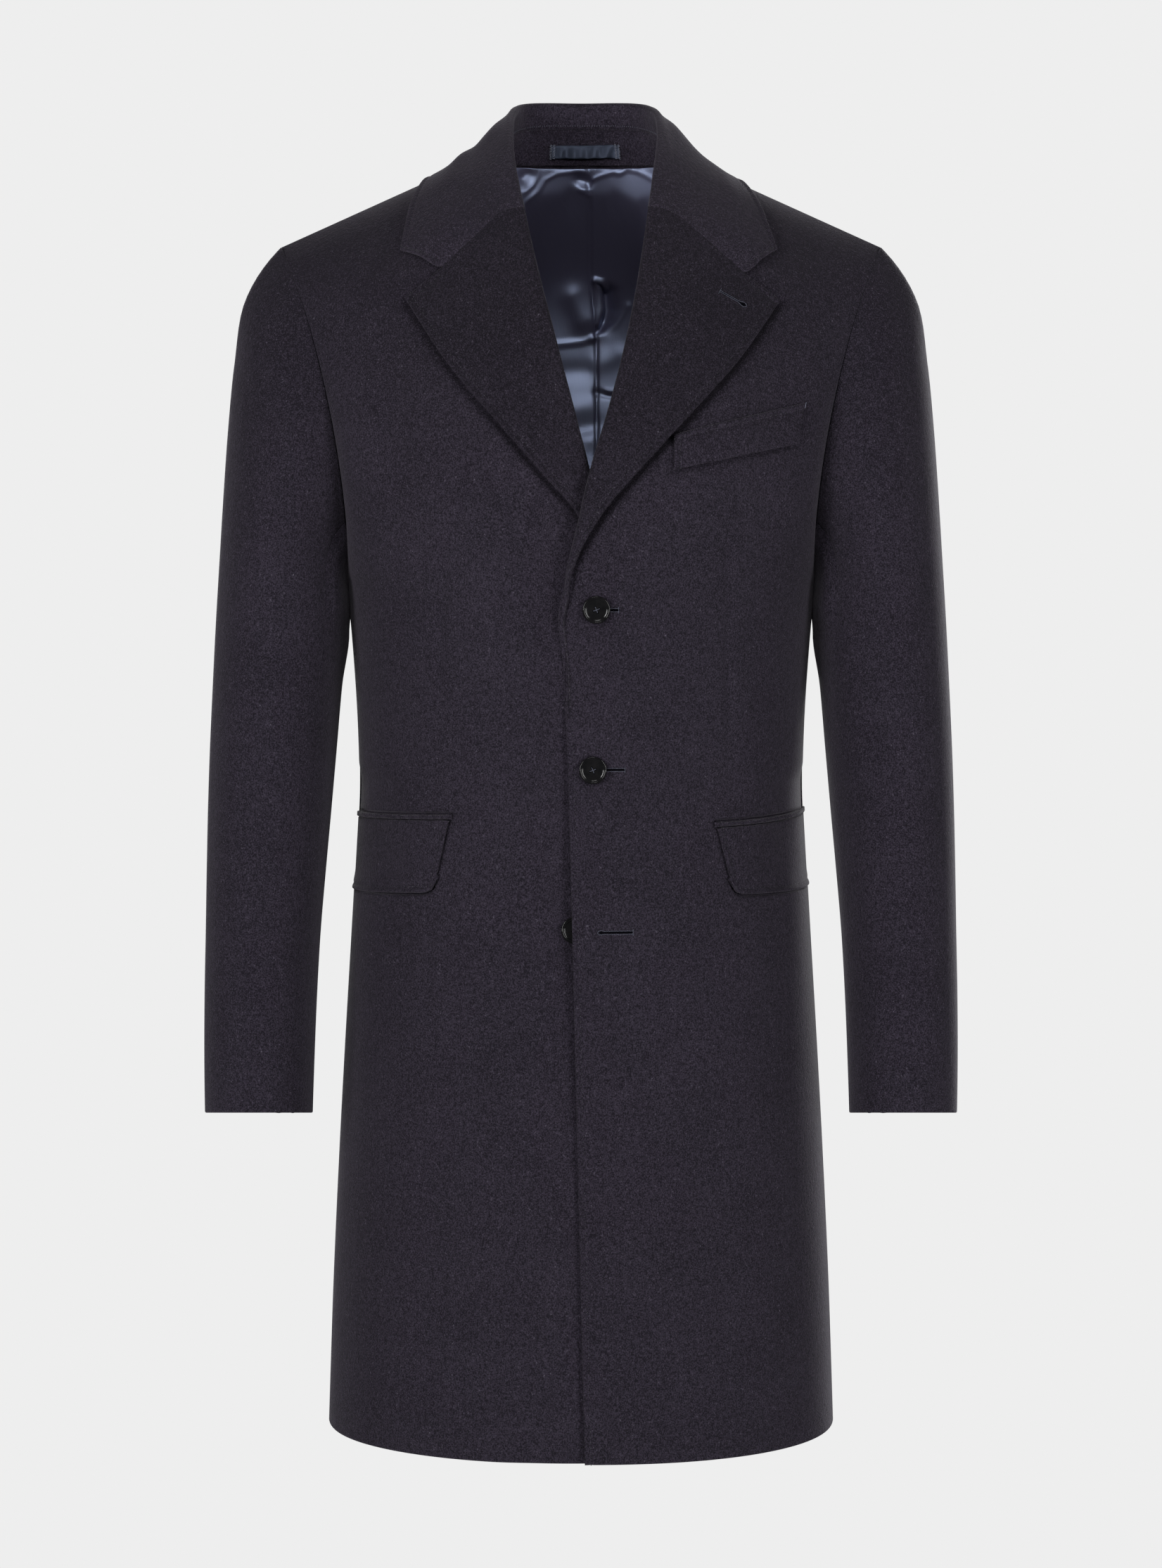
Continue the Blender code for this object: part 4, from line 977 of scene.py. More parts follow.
for side in SIDES:
    coarse[f"lapel_{side}"] = with_tail(coarse[f"lapel_{side}"], coarse[f"front_{side}"])
cloths = {}
for piece in PIECES:
    corner, bands = None, ()
    if piece.node.startswith("front"):
        corner, bands = BREAK_ROW, pocket_bands(piece.node.split("_")[1])
    cloths[piece.node] = Cloth(coarse[piece.node], piece.step, near_lines(piece), corner, bands)
for node in ("front_left", "lapel_left"):
    swung(cloths[node])
print("fine points:", sum(cloth.across.size for cloth in cloths.values()))

# %% [markdown]
# ## Hollows and creases
# The coat is cut and pressed well, and it hangs almost smooth. What shows is a soft hollow under the
# lapel's edge where the fronts cross, a hollow in front of each armhole, a dart down each front and a few
# faint drags at the elbows. A narrow trough runs along each lapel's edge, where it presses into the front.
# The back and the inner sleeves get like ones: a hollow at the small of the back, drags from the shoulder
# blades, long soft flutes in the skirt and the line of the middle seam. The collar is smoothed from end to
# end and laid on the shoulders.

# %% Draw the creases
CREASE_COLUMNS = "x z x_end z_end bow width height face"
FRONT_CREASES = table(
    CREASE_COLUMNS,
    (-0.060, -0.220, -0.012, -0.350, 0.006, 0.020, -0.0030, -1),
    (0.050, -0.255, 0.060, -0.390, 0.006, 0.026, -0.0014, -1),
    (-0.138, -0.120, -0.122, -0.310, 0.008, 0.015, -0.0022, -1),
    (0.138, -0.120, 0.124, -0.300, -0.008, 0.015, -0.0022, -1),
    (-0.060, -0.560, -0.078, -0.960, 0.008, 0.045, -0.0018, -1),
    (0.075, -0.580, 0.095, -0.960, -0.006, 0.050, -0.0020, -1),
    (0.140, -0.620, 0.150, -0.968, 0.006, 0.035, 0.0016, -1),
    (-0.135, -0.640, -0.150, -0.968, 0.004, 0.036, 0.0015, -1),
)
UNDER_CREASES = table(
    CREASE_COLUMNS,
    (-0.004, -0.250, -0.012, -0.432, 0.0, 0.034, 0.0054, -1),
)
DARTS = table(
    CREASE_COLUMNS,
    (-0.0995, -0.270, -0.1075, -0.440, 0.0, 0.0042, -0.0017, -1),
    (0.1060, -0.265, 0.1115, -0.490, 0.0, 0.0042, -0.0017, -1),
)
BACK_CREASES = table(
    CREASE_COLUMNS,
    (-0.118, -0.090, -0.070, -0.350, -0.012, 0.018, -0.0034, 1),
    (0.120, -0.085, 0.078, -0.330, 0.012, 0.019, -0.0032, 1),
    (-0.135, -0.418, 0.020, -0.445, 0.008, 0.017, -0.0034, 1),
    (0.140, -0.446, 0.005, -0.420, -0.006, 0.016, -0.0030, 1),
    (-0.048, -0.480, -0.066, -1.060, 0.008, 0.032, -0.0060, 1),
    (0.054, -0.500, 0.078, -1.060, -0.008, 0.034, -0.0056, 1),
    (-0.112, -0.520, -0.132, -1.060, 0.004, 0.028, 0.0036, 1),
    (0.112, -0.510, 0.140, -1.060, 0.006, 0.030, 0.0036, 1),
    (0.0, 0.300, 0.0, -1.300, 0.0, 0.0036, -0.0013, 1),
)
SLEEVE_CREASES = table(
    CREASE_COLUMNS,
    (-0.185, -0.290, -0.235, -0.345, 0.004, 0.011, -0.0018, -1),
    (-0.190, -0.350, -0.245, -0.385, -0.004, 0.012, -0.0014, -1),
    (-0.198, -0.430, -0.250, -0.400, 0.003, 0.013, -0.0012, -1),
    (0.186, -0.300, 0.238, -0.350, 0.004, 0.012, -0.0017, -1),
    (0.192, -0.365, 0.246, -0.392, 0.004, 0.011, -0.0014, -1),
    (0.200, -0.440, 0.252, -0.412, -0.003, 0.013, -0.0012, -1),
    (-0.205, -0.330, -0.262, -0.300, 0.004, 0.012, -0.0020, 1),
    (-0.208, -0.365, -0.266, -0.350, -0.003, 0.011, -0.0022, 1),
    (-0.212, -0.400, -0.268, -0.412, 0.004, 0.013, -0.0016, 1),
    (0.204, -0.338, 0.262, -0.312, -0.004, 0.012, -0.0021, 1),
    (0.208, -0.372, 0.267, -0.362, 0.003, 0.012, -0.0020, 1),
    (0.214, -0.408, 0.268, -0.424, 0.004, 0.013, -0.0015, 1),
)
print("creases:", len(FRONT_CREASES + UNDER_CREASES + DARTS + BACK_CREASES + SLEEVE_CREASES))

# %% Press the hollows and creases
COLLAR_BUMPS = 0.016
COLLAR_HEIGHT = 0.0034
COLLAR_LYING = 0.030
TIP_KEPT = 0.040
LAPEL_SPRING = SimpleNamespace(height=0.0030, skew=0.65)
LAPEL_GROOVES = {"left": 0.0046, "right": 0.0032}
LAPEL_GROOVE_WIDTH = 0.0024
LAPEL_EDGE_STRIDE = 3
GROOVE_ENDS = (-0.325, -0.262)
COLLAR_SEAM_DEPTH = 0.0012
COLLAR_SEAM_WIDTH = 0.0020
POCKET = SimpleNamespace(
    depth=0.0027, from_x=0.122, to_x=0.156, high=-0.470, low=-0.537, reach=0.016, ahead=0.5, turn=2.0)
ARMPIT = SimpleNamespace(height=0.0046, low=-0.356, high=-0.235, fade=0.024, seam=0.012)
WITH_FRONT = {
    "left": ("front_left", "flap_left", "jet_left", "chest_welt"),
    "right": ("front_right", "flap_right", "jet_right"),
}


def outer_share(cloth, pocket):
    """Goes from 0 to 1 towards a pocket's outer end."""
    return ease((np.abs(cloth.points[..., 0]) - pocket.from_x) / (pocket.to_x - pocket.from_x))


def sunk(cloth, pocket):
    """Sinks the cloth round a pocket's outer end, so that the flap lies flush with the side of the coat."""
    z = cloth.points[..., 2]
    beyond = np.maximum(z - pocket.high, pocket.low - z)
    ahead = ease(pocket.ahead - cloth.normals()[..., 1] * pocket.turn)
    cloth.press(-pocket.depth * outer_share(cloth, pocket) * ahead * ease(1.0 - beyond / pocket.reach))


def filled(cloth, armpit):
    """Lets an under-sleeve swell towards the body below the armpit, where the two touch."""
    toward = -np.sign(cloth.points[..., 0]) * cloth.normals()[..., 0]
    z = cloth.points[..., 2]
    share = ease((z - armpit.low) / armpit.fade) * ease((armpit.high - z) / armpit.fade) * ease(toward)
    for edge in ("start", "end"):
        share = share * ease(cloth.from_edge(edge) / armpit.seam)
    cloth.press(armpit.height * share)


collar = cloths["collar"]
from_tips = np.minimum(collar.from_edge("low"), collar.from_edge("high"))
collar.smooth_rows(COLLAR_BUMPS, ease((from_tips - TIP_KEPT) / TIP_KEPT))
panels = [cloths[f"{part}_{side}"] for part in ("front", "back") for side in SIDES]
collar.settle(panels, COLLAR_HEIGHT, ease(1.0 - collar.from_edge("end") / COLLAR_LYING))
collar.smooth_rows(COLLAR_BUMPS / 2.0, ease((from_tips - TIP_KEPT) / TIP_KEPT))
for cloth, edge in ((collar, "start"), (cloths["collar_stand"], "high")):
    cloth.press(-COLLAR_SEAM_DEPTH * np.exp(-(cloth.from_edge(edge) / COLLAR_SEAM_WIDTH) ** 2))
for side in SIDES:
    lapel = cloths[f"lapel_{side}"]
    along = np.clip(1.0 - lapel.from_edge("high") / (lapel.down.max() - TAIL[0].down), 0.0, 1.0)
    spring = LAPEL_SPRING.height * np.sin(np.pi * along ** LAPEL_SPRING.skew)
    lapel.press(spring * ease(lapel.across / lapel.across[:, -1:]))
    for node in WITH_FRONT[side]:
        cloth = cloths[node]
        creased(cloth, FRONT_CREASES + DARTS)
        low, high = GROOVE_ENDS
        depth = LAPEL_GROOVES[side] * ease((cloth.points[..., 2] - low) / (high - low))
        ridged(cloth, LAPEL_GROOVE_WIDTH, -depth, lapel.points[::LAPEL_EDGE_STRIDE, -1][:, [0, 2]])
        sunk(cloth, POCKET)
    creased(cloths[f"back_{side}"], BACK_CREASES)
    for half in SLEEVE_STEPS:
        creased(cloths[f"sleeve_{side}_{half}"], SLEEVE_CREASES)
    filled(cloths[f"sleeve_{side}_under"], ARMPIT)
creased(cloths["front_right"], UNDER_CREASES)
print("the collar lies on", len(panels), "panels")

# %% [markdown]
# ## The pockets and the sewn edges
# A flap's front corner is rounded. The jet above it is a little narrower than its solid, and fine dark
# lines show under the flap and beside the jet. They are slots pressed into the front. The outer ends of
# both are sunk nearly flush with the side of the coat. The welt's seam is a line too. Last of all, every
# edge that is pricked gets its groove.

# %% Shape the pockets and groove the edges
FLAP_ROUND = SimpleNamespace(radius=0.0095, reach=0.032)
SLOT = SimpleNamespace(width=0.0009, depth=0.0032, facing=2.2, under_flap=-0.0010, above=0.0003)
JET_GAPS = SimpleNamespace(low=0.0008, high=0.0004)
FLAP_SUNK = 0.0021
JET_SUNK = 0.0003
WELT_SEAM_DEPTH = 0.0016
WELT_SEAM_WIDTH = 0.0026


def round_corner(cloth, size):
    """Rounds the corner between the low and the start edge, by lifting the low edge near it."""
    short = size.radius - np.minimum(cloth.from_edge("start"), size.radius)
    lift = size.radius - np.sqrt(size.radius ** 2 - short ** 2)
    up = unit(np.gradient(cloth.points, axis=0))
    cloth.points = cloth.points + up * (lift * ease(1.0 - cloth.from_edge("low") / size.reach))[..., None]


def narrow(cloth, gaps):
    """Moves the low and the high edge of a strip in, so that a dark line shows beside each."""
    share = cloth.down / cloth.down.max()
    up = unit(cloth.points[-1:] - cloth.points[:1])
    cloth.points = cloth.points + up * (gaps.low * (1.0 - share) - gaps.high * share)[..., None]


def slotted(front, row, up):
    """Presses a narrow slot into a front, along a row of points moved up a little."""
    depth = SLOT.depth * ease(-SLOT.facing * front.normals()[..., 1])
    ridged(front, SLOT.width, -depth, row[:, [0, 2]] + (0.0, up))


for side in SIDES:
    front, flap, jet = [cloths[f"{part}_{side}"] for part in ("front", "flap", "jet")]
    round_corner(flap, FLAP_ROUND)
    narrow(jet, JET_GAPS)
    slotted(front, flap.points[0], SLOT.under_flap)
    slotted(front, flap.points[-1], SLOT.above)
    slotted(front, jet.points[-1], SLOT.above)
    flap.press(-FLAP_SUNK * outer_share(flap, POCKET))
    jet.press(-JET_SUNK * outer_share(jet, POCKET))
ridged(cloths["front_left"], WELT_SEAM_WIDTH, -WELT_SEAM_DEPTH, cloths["chest_welt"].points[0][:, [0, 2]])
free = {}
for piece in PIECES:
    cloth = cloths[piece.node]
    free[piece.node] = past_notch(cloth) if piece.gorge else np.ones(cloth.across.shape)
    for edge in piece.grooved:
        swelled(cloth, edge, free[piece.node] if edge in piece.gorge else 1.0)
print("grooved edges:", sum(len(piece.grooved) for piece in PIECES))

# %% [markdown]
# ## The loose lining
# The lining is cut wider than the back and is held only at its edges, so it bags. Under the stand it leans
# forward as far as a scalloped line, with sharp little ridges where it is drawn together. Below that it
# hangs upright and stays dark. Lower down it leans forward again, beside a pleat that is open at its right
# and closes along a slanted line. The leaning fades out towards the armholes, where the lining is sewn in,
# and only the lines that show through the neck are kept close. Ridges are drawn as lines of x and z. The
# hanger loop puckers a little between its stitched ends.

# %% Draw the lining's folds
TOP_BAG = SimpleNamespace(
    z=0.0080, lean=0.36, soft=0.0016, even_z=-0.019, evening=0.030,
    line=((-0.060, -0.024), (-0.0373, -0.0199), (-0.0145, -0.0171), (-0.0086, -0.0122), (0.0067, -0.0182),
          (0.0200, -0.0180), (0.0259, -0.0149), (0.0326, -0.0188), (0.0423, -0.0237), (0.0518, -0.0199)),
)
LOW_BAG = SimpleNamespace(z=-0.088, lean=0.175, soft=0.0060, half_width=0.075, fade=0.060)
PLEAT = SimpleNamespace(
    lip=0.0009, depth=0.0095, width=0.0085, opening=0.010, closing=0.016, farthest=40.0,
    line=((-0.1285, 0.0100), (-0.1170, 0.0145), (-0.1050, 0.0178), (-0.0890, 0.0161), (-0.0815, 0.0106)),
)
RIDGES = table(
    "width height line",
    (0.0014, 0.0009, ((-0.0440, -0.0253), (-0.0334, -0.0160), (-0.0278, -0.0068), (-0.0184, -0.0018),
                      (-0.0028, -0.0002), (0.0048, -0.0010), (0.0078, -0.0068))),
    (0.0014, 0.0009, ((0.0078, -0.0068), (0.0154, -0.0035), (0.0259, -0.0006), (0.0295, -0.0024),
                      (0.0359, 0.0009), (0.0431, -0.0006), (0.0490, -0.0035), (0.0560, -0.0080))),
    (0.0014, 0.0009, ((-0.0440, -0.0171), (-0.0373, -0.0106), (-0.0334, -0.0029), (-0.0323, 0.0036))),
    (0.0050, -0.0030, ((-0.0440, -0.0060), (-0.0410, -0.0030))),
    (0.0040, -0.0026, ((-0.0020, -0.0060), (0.0045, -0.0075))),
    (0.0013, 0.0009, ((-0.0011, -0.0133), (0.0067, -0.0145))),
    (0.0013, 0.0009, ((-0.0005, -0.0150), (0.0067, -0.0180))),
    (0.0100, 0.0034, ((-0.0060, -0.0950), (0.0020, -0.1120))),
    (0.0015, 0.0030, ((0.0105, -0.0815), (0.0165, -0.0832), (0.0200, -0.0885))),
    (0.0014, 0.0018, ((0.0100, -0.0835), (0.0145, -0.0890), (0.0163, -0.1050), (0.0130, -0.1170))),
    (0.0024, 0.0009, ((-0.0260, -0.1330), (0.0010, -0.1300), (0.0090, -0.1275))),
    (0.0024, 0.0010, ((0.0090, -0.1275), (0.0180, -0.1235), (0.0284, -0.1160), (0.0367, -0.1020))),
    (0.0080, -0.0012, ((-0.0300, -0.1560), (0.0060, -0.1520))),
    (0.0080, 0.0012, ((0.0130, -0.1480), (0.0290, -0.1400))),
    (0.0024, -0.0012, ((0.0110, -0.1700), (0.0284, -0.1735))),
    (0.0020, 0.0007, ((0.0200, -0.1690), (0.0284, -0.1700))),
    (0.0080, 0.0010, ((-0.0200, -0.1850), (0.0060, -0.1800))),
    (0.0070, -0.0010, ((-0.0150, -0.2000), (0.0150, -0.1960))),
    (0.0070, 0.0009, ((0.0060, -0.2080), (0.0200, -0.2020))),
)
SEAM_LINE = ((0.0061, 0.0080), (0.0072, -0.0800), (0.0120, -0.1280), (0.0125, -0.2400))
SEEN = SimpleNamespace(half_width=0.105, low=-0.270)
LEAN = SimpleNamespace(half_width=0.115, fade=0.050)
PUCKER = SimpleNamespace(height=0.0006, turn=610.0, fade=0.006)
SEAM_DEPTH = 0.0016
SEAM_WIDTH = 0.0013
print("lining ridges:", len(RIDGES))


# %% Press the lining
def soft_least(a, b, soft):
    """The lesser of two values, rounded where they cross."""
    return np.minimum(a, b) - soft * np.log1p(np.exp(-np.abs(a - b) / soft))


def leaning(cloth):
    """How far the lining leans forward: under the stand, and again lower down, less at the pleat's right."""
    x, z = cloth.points[..., 0], cloth.points[..., 2]
    ends = np.interp(x, *np.array(TOP_BAG.line).T)
    top = soft_least(TOP_BAG.z - z, TOP_BAG.z - ends, TOP_BAG.soft)
    top = TOP_BAG.lean * (top + (ends - TOP_BAG.even_z) * ease((ends - z) / TOP_BAG.evening))
    low = -LOW_BAG.lean * soft_least(np.zeros_like(z), z - LOW_BAG.z, LOW_BAG.soft)
    low = low * ease((LOW_BAG.half_width + LOW_BAG.fade - np.abs(x)) / LOW_BAG.fade)
    heights, sides = np.array(PLEAT.line).T
    beyond = x - np.interp(z, heights, sides)
    right = 1.0 / (1.0 + np.exp(-np.clip(beyond / PLEAT.lip, -PLEAT.farthest, PLEAT.farthest)))
    right = right * np.exp(-(np.maximum(beyond, 0.0) / PLEAT.width) ** 2)
    opened = ease((heights[-1] - z) / PLEAT.opening) * ease((z - heights[0]) / PLEAT.closing)
    return top + low - PLEAT.depth * right * opened


lining = cloths["lining_back"]
from_middle = np.abs(lining.points[..., 0])
forward = leaning(lining) * ease((LEAN.half_width + LEAN.fade - from_middle) / LEAN.fade)
lining.points[..., 1] -= forward
ridged(lining, SEAM_WIDTH, -SEAM_DEPTH, SEAM_LINE)
for ridge in RIDGES:
    ridged(lining, ridge.width, ridge.height, ridge.line)
row_tops, column_sides = lining.points[..., 2].max(axis=1), np.abs(lining.points[..., 0]).min(axis=0)
lining.thin(row_tops > SEEN.low, column_sides < SEEN.half_width)
loop = cloths["hanger_loop"]
loop.press(PUCKER.height * np.sin(loop.across * PUCKER.turn) * ease(loop.from_edge("high") / PUCKER.fade))
print("the lining leans forward by up to", round(1000.0 * forward.max(), 1), "mm")

# %% [markdown]
# ## The finished pieces
# Each fine grid is closed into its shell, gets its finish and stands in for its solid.

# %% Close the pieces
finishes = {piece.node: WOOL for piece in PIECES}
# The lapels take the painted shade, the collar and the stand the painted light.
finishes.update(lapel_left=SHADED_FACING_WOOL, lapel_right=SHADED_FACING_WOOL, collar=LIT_COLLAR_WOOL, collar_stand=LIT_COLLAR_WOOL)
finishes.update(lining_back=SATIN, hanger_loop=LOOP_SATIN)
for piece in PIECES:
    name, cloth, finish = f"{piece.node}_cloth", cloths[piece.node], finishes[piece.node]
    made = shell(name, cloth, piece.wall, finish, piece.folded, free[piece.node])
    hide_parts(*nodes_of(piece))
    "satin" if finish in (SATIN, LOOP_SATIN) else "wool"

# %% [markdown]
# ## Stitches
# Every stitch is one small capsule of thread. A node tree lays them: it turns lines of points into curves,
# cuts the curves at even steps and puts a capsule on each cut, flat on the cloth and turned a little at
# random. The lines carry the cloth's normal as an attribute named up. The result is kept as a plain mesh.

# %% Build the stitch tree
STITCH_INPUTS = table(
    "name kind",
    ("Geometry", "NodeSocketGeometry"), ("Spacing", "NodeSocketFloat"), ("Length", "NodeSocketFloat"),
    ("Width", "NodeSocketFloat"), ("Turn", "NodeSocketFloat"), ("Lean", "NodeSocketFloat"),
    ("Seed", "NodeSocketInt"), ("Material", "NodeSocketMaterial"),
)
FLATNESS = 0.7
CAPSULE = {"Segments": 6, "Rings": 4, "Radius": 0.5}


def stitch_tree():
    """The node tree that lays capsules along lines of points."""
    tree = bpy.data.node_groups.new("stitches", "GeometryNodeTree")
    for socket in STITCH_INPUTS:
        tree.interface.new_socket(socket.name, in_out="INPUT", socket_type=socket.kind)
    tree.interface.new_socket("Geometry", in_out="OUTPUT", socket_type="NodeSocketGeometry")
    start = Wire(tree)
    given = start.node("NodeGroupInput")
    curves = start.node("GeometryNodeMeshToCurve", {"Mesh": given})
    steps = start.node(
        "GeometryNodeResampleCurve", {"Curve": curves, "Length": given.beside("Spacing")}, mode="LENGTH")
    up = start.node("GeometryNodeInputNamedAttribute", {"Name": "up"}, data_type="FLOAT_VECTOR")
    along = start.node("GeometryNodeInputTangent")
    flat = start.node(
        "FunctionNodeAxesToRotation", {"Primary Axis": up, "Secondary Axis": along},
        primary_axis="Z", secondary_axis="X")
    stray = start.node(
        "FunctionNodeRandomValue", {2: -1.0, 3: 1.0, "Seed": given.beside("Seed")},
        output=1, data_type="FLOAT")
    angle = stray * given.beside("Lean") + given.beside("Turn")
    turn = start.node("FunctionNodeAxisAngleToRotation", {"Axis": (0.0, 0.0, 1.0), "Angle": angle})
    rotation = start.node(
        "FunctionNodeRotateRotation", {"Rotation": flat, "Rotate By": turn}, rotation_space="LOCAL")
    length, width = given.beside("Length"), given.beside("Width")
    size = start.node("ShaderNodeCombineXYZ", {"X": length, "Y": width, "Z": width * FLATNESS})
    capsule = start.node("GeometryNodeMeshUVSphere", CAPSULE)
    laid = start.node(
        "GeometryNodeInstanceOnPoints",
        {"Points": steps, "Instance": capsule, "Rotation": rotation, "Scale": size})
    real = start.node("GeometryNodeRealizeInstances", {"Geometry": laid})
    done = start.node("GeometryNodeSetMaterial", {"Geometry": real, "Material": given.beside("Material")})
    start.node("NodeGroupOutput", {"Geometry": done})
    return tree


def applied(holder):
    """An object's mesh with its modifiers applied. The object itself is taken away."""
    mesh = bpy.data.meshes.new_from_object(holder.evaluated_get(bpy.context.evaluated_depsgraph_get()))
    bpy.data.objects.remove(holder)
    return mesh


def stitched(name, lines, material, spacing, length, width, turn=0.0, lean=0.08, seed=1):
    """Adds a piece of stitches along lines, each given as its points and the cloth's normals there."""
    mesh = bpy.data.meshes.new(name)
    points = np.vstack([points for points, _ in lines])
    ends = np.cumsum([len(points) for points, _ in lines])
    steps = [(k, k + 1) for k in range(len(points) - 1) if k + 1 not in ends]
    mesh.from_pydata(points, steps, [])
    ups = np.vstack([normals for _, normals in lines])
    mesh.attributes.new("up", "FLOAT_VECTOR", "POINT").data.foreach_set("vector", ups.ravel())
    holder = put(name, mesh)
    laying = holder.modifiers.new("stitches", "NODES")
    laying.node_group = STITCHES
    values = {"Spacing": spacing, "Length": length, "Width": width, "Turn": turn, "Lean": lean,
              "Seed": seed, "Material": material}
    for socket in STITCHES.interface.items_tree:
        if socket.name in values:
            laying[socket.identifier] = values[socket.name]
    return add_piece(name, applied(holder), material)


STITCHES = stitch_tree()
print("the stitch tree has", len(STITCHES.nodes), "nodes")

# %% [markdown]
# ## Prick stitches along the edges
# The edges of the fronts, lapels, collar, flaps and welt are pricked by hand in the groove, a few
# millimetres apart. On the fronts they end at the break, and on the lapels and the collar at the notch.

# %% Prick the edges
PRICK_LIFT = 0.0001
BREAK_MARGIN = 0.012
BREAK_Z = coarse["front_left"][BREAK_ROW, 0, 2]
FREE_ENOUGH = 0.5


def edge_line(node, edge, distance, lift):
    """The points of a line beside an edge, lifted off the cloth, and the normals there."""
    cloth = cloths[node]
    normals = cloth.line(edge, distance, cloth.normals())
    return cloth.line(edge, distance, cloth.points) + normals * lift, normals


def runs(points, normals, kept):
    """Splits a line where its points aren't kept."""
    places = np.flatnonzero(kept)
    parts = np.split(places, np.flatnonzero(np.diff(places) > 1) + 1)
    return [(points[part], normals[part]) for part in parts if len(part) > 1]


def pricked(piece, edge):
    """The lines of prick stitches beside an edge."""
    points, normals = edge_line(piece.node, edge, GROOVE_AT, PRICK_LIFT)
    kept = np.ones(len(points), bool)
    if edge in piece.gorge:
        kept = cloths[piece.node].line(edge, GROOVE_AT, free[piece.node]) > FREE_ENOUGH
    if piece.node.startswith("front"):
        kept = points[:, 2] < BREAK_Z - BREAK_MARGIN
    if piece.node.startswith("lapel"):
        kept &= points[:, 2] > BREAK_Z + BREAK_MARGIN
    return runs(points, normals, kept)


prick_lines = [line for piece in PIECES for edge in piece.grooved for line in pricked(piece, edge)]
stitched("prick_stitches", prick_lines, PRICK, spacing=0.0042, length=0.0012, width=0.0005)
print("pricked lines:", len(prick_lines), "the break is at z", round(BREAK_Z, 4))

# %% [markdown]
# ## Buttonholes
# Each buttonhole is a slit with a wider eye, edged with a close row of purl knots, and with a bar across
# its far end. They are drawn flat, from the far end to the eye, then laid on the cloth from the front.

# %% Work the buttonholes
EYE = SimpleNamespace(long=0.0027, high=0.0016, start=140.0, points=15)
SIDE_POINTS = 8
BAR_POINTS = 5
BAR_HALF = 0.0021
SLIT_SHARE = 0.6
SLIT_LIFT = 0.0002
PURL_LIFT = 0.0003
IN_FRONT = -1.0
BUTTONHOLES = table(
    "name node x z x_eye z_eye off",
    ("buttonhole_1", "front_left", 0.0274, -0.3370, 0.0034, -0.3370, 0.0012),
    ("buttonhole_2", "front_left", 0.0321, -0.4539, 0.0080, -0.4539, 0.0012),
    ("buttonhole_3", "front_left", 0.0382, -0.5735, 0.0121, -0.5735, 0.0012),
    ("lapel_buttonhole", "lapel_left", 0.1020, -0.1036, 0.1216, -0.1144, 0.0005),
)


def laid(cloth, spots, lift):
    """Points on a cloth behind spots of x and z, as seen from the front, and the normals there."""
    tree, ahead = cloth.tree(), Vector(BACK)
    hits = [tree.ray_cast(Vector((x, IN_FRONT, z)), ahead) for x, z in spots]
    normals = np.array([hit[1] for hit in hits])
    normals = np.where(normals[:, 1:2] > 0.0, -normals, normals)
    return np.array([hit[0] for hit in hits]) + normals * lift, normals


def hole_outline(length, half, long, high):
    """A buttonhole's outline, along it and across it, from the far end round the eye and back."""
    angles = np.radians(np.linspace(EYE.start, -EYE.start, EYE.points))
    eye = np.stack((length - EYE.long + long * np.cos(angles), high * np.sin(angles)), axis=-1)
    side = np.linspace(0.0, eye[0, 0], SIDE_POINTS, endpoint=False)
    upper = np.stack((side, np.full(SIDE_POINTS, half)), axis=-1)
    return np.vstack((upper, eye, (upper * (1.0, -1.0))[::-1]))


def work_buttonhole(hole):
    """The purl knots, the bar and the slit of one buttonhole, whose dark plate is a painted shadow."""
    cloth, start = cloths[hole.node], np.array((hole.x, hole.z))
    along = np.array((hole.x_eye, hole.z_eye)) - start
    length = np.linalg.norm(along)
    axes = np.array((along, (-along[1], along[0]))) / length
    sizes = np.array((hole.off, EYE.long, EYE.high))
    purls = hole_outline(length, *sizes) @ axes + start
    slit = hole_outline(length, *(SLIT_SHARE * sizes)) @ axes + start
    bar = np.linspace((0.0, -BAR_HALF), (0.0, BAR_HALF), BAR_POINTS) @ axes + start
    lines = [laid(cloth, purls, PURL_LIFT), laid(cloth, bar, PURL_LIFT)]
    stitched(f"{hole.name}_purls", lines, TWIST, spacing=0.0007, length=0.0008, width=0.0005, lean=0.5)
    # The slit's plate is a painted shadow, a dark sheet where the cut shows only shade.
    plate = bpy.data.meshes.new(f"{hole.name}_slit")
    points = laid(cloth, slit, SLIT_LIFT)[0]
    half = len(points) // 2
    strips = [(k, k + 1, len(points) - 2 - k, len(points) - 1 - k) for k in range(half - 1)]
    plate.from_pydata(points, [], strips + [(half - 1, half, half + 1)])
    add_piece(f"{hole.name}_slit", plate, PAINTED_SLIT_SHADOW)


for hole in BUTTONHOLES:
    work_buttonhole(hole)
print("buttonholes:", len(BUTTONHOLES))

# %% [markdown]
# ## Small stitches and tacks
# The collar is felled to the stand with short upright stitches above the seam. The hanger loop is tacked
# down at both ends, the welt's top corner has a small bar, and a row of light stitches runs down the
# lining's seam under the pleat.

# %% Fell and tack
FELLED_TO_X = 0.062
FELL_AT = 0.0026
TACK_AT = (0.0010, 0.0026)
WELT_BAR = 0.0045
LINING_STITCHES = SimpleNamespace(start=(0.0122, -0.1420), end=(0.0124, -0.1860), points=20)

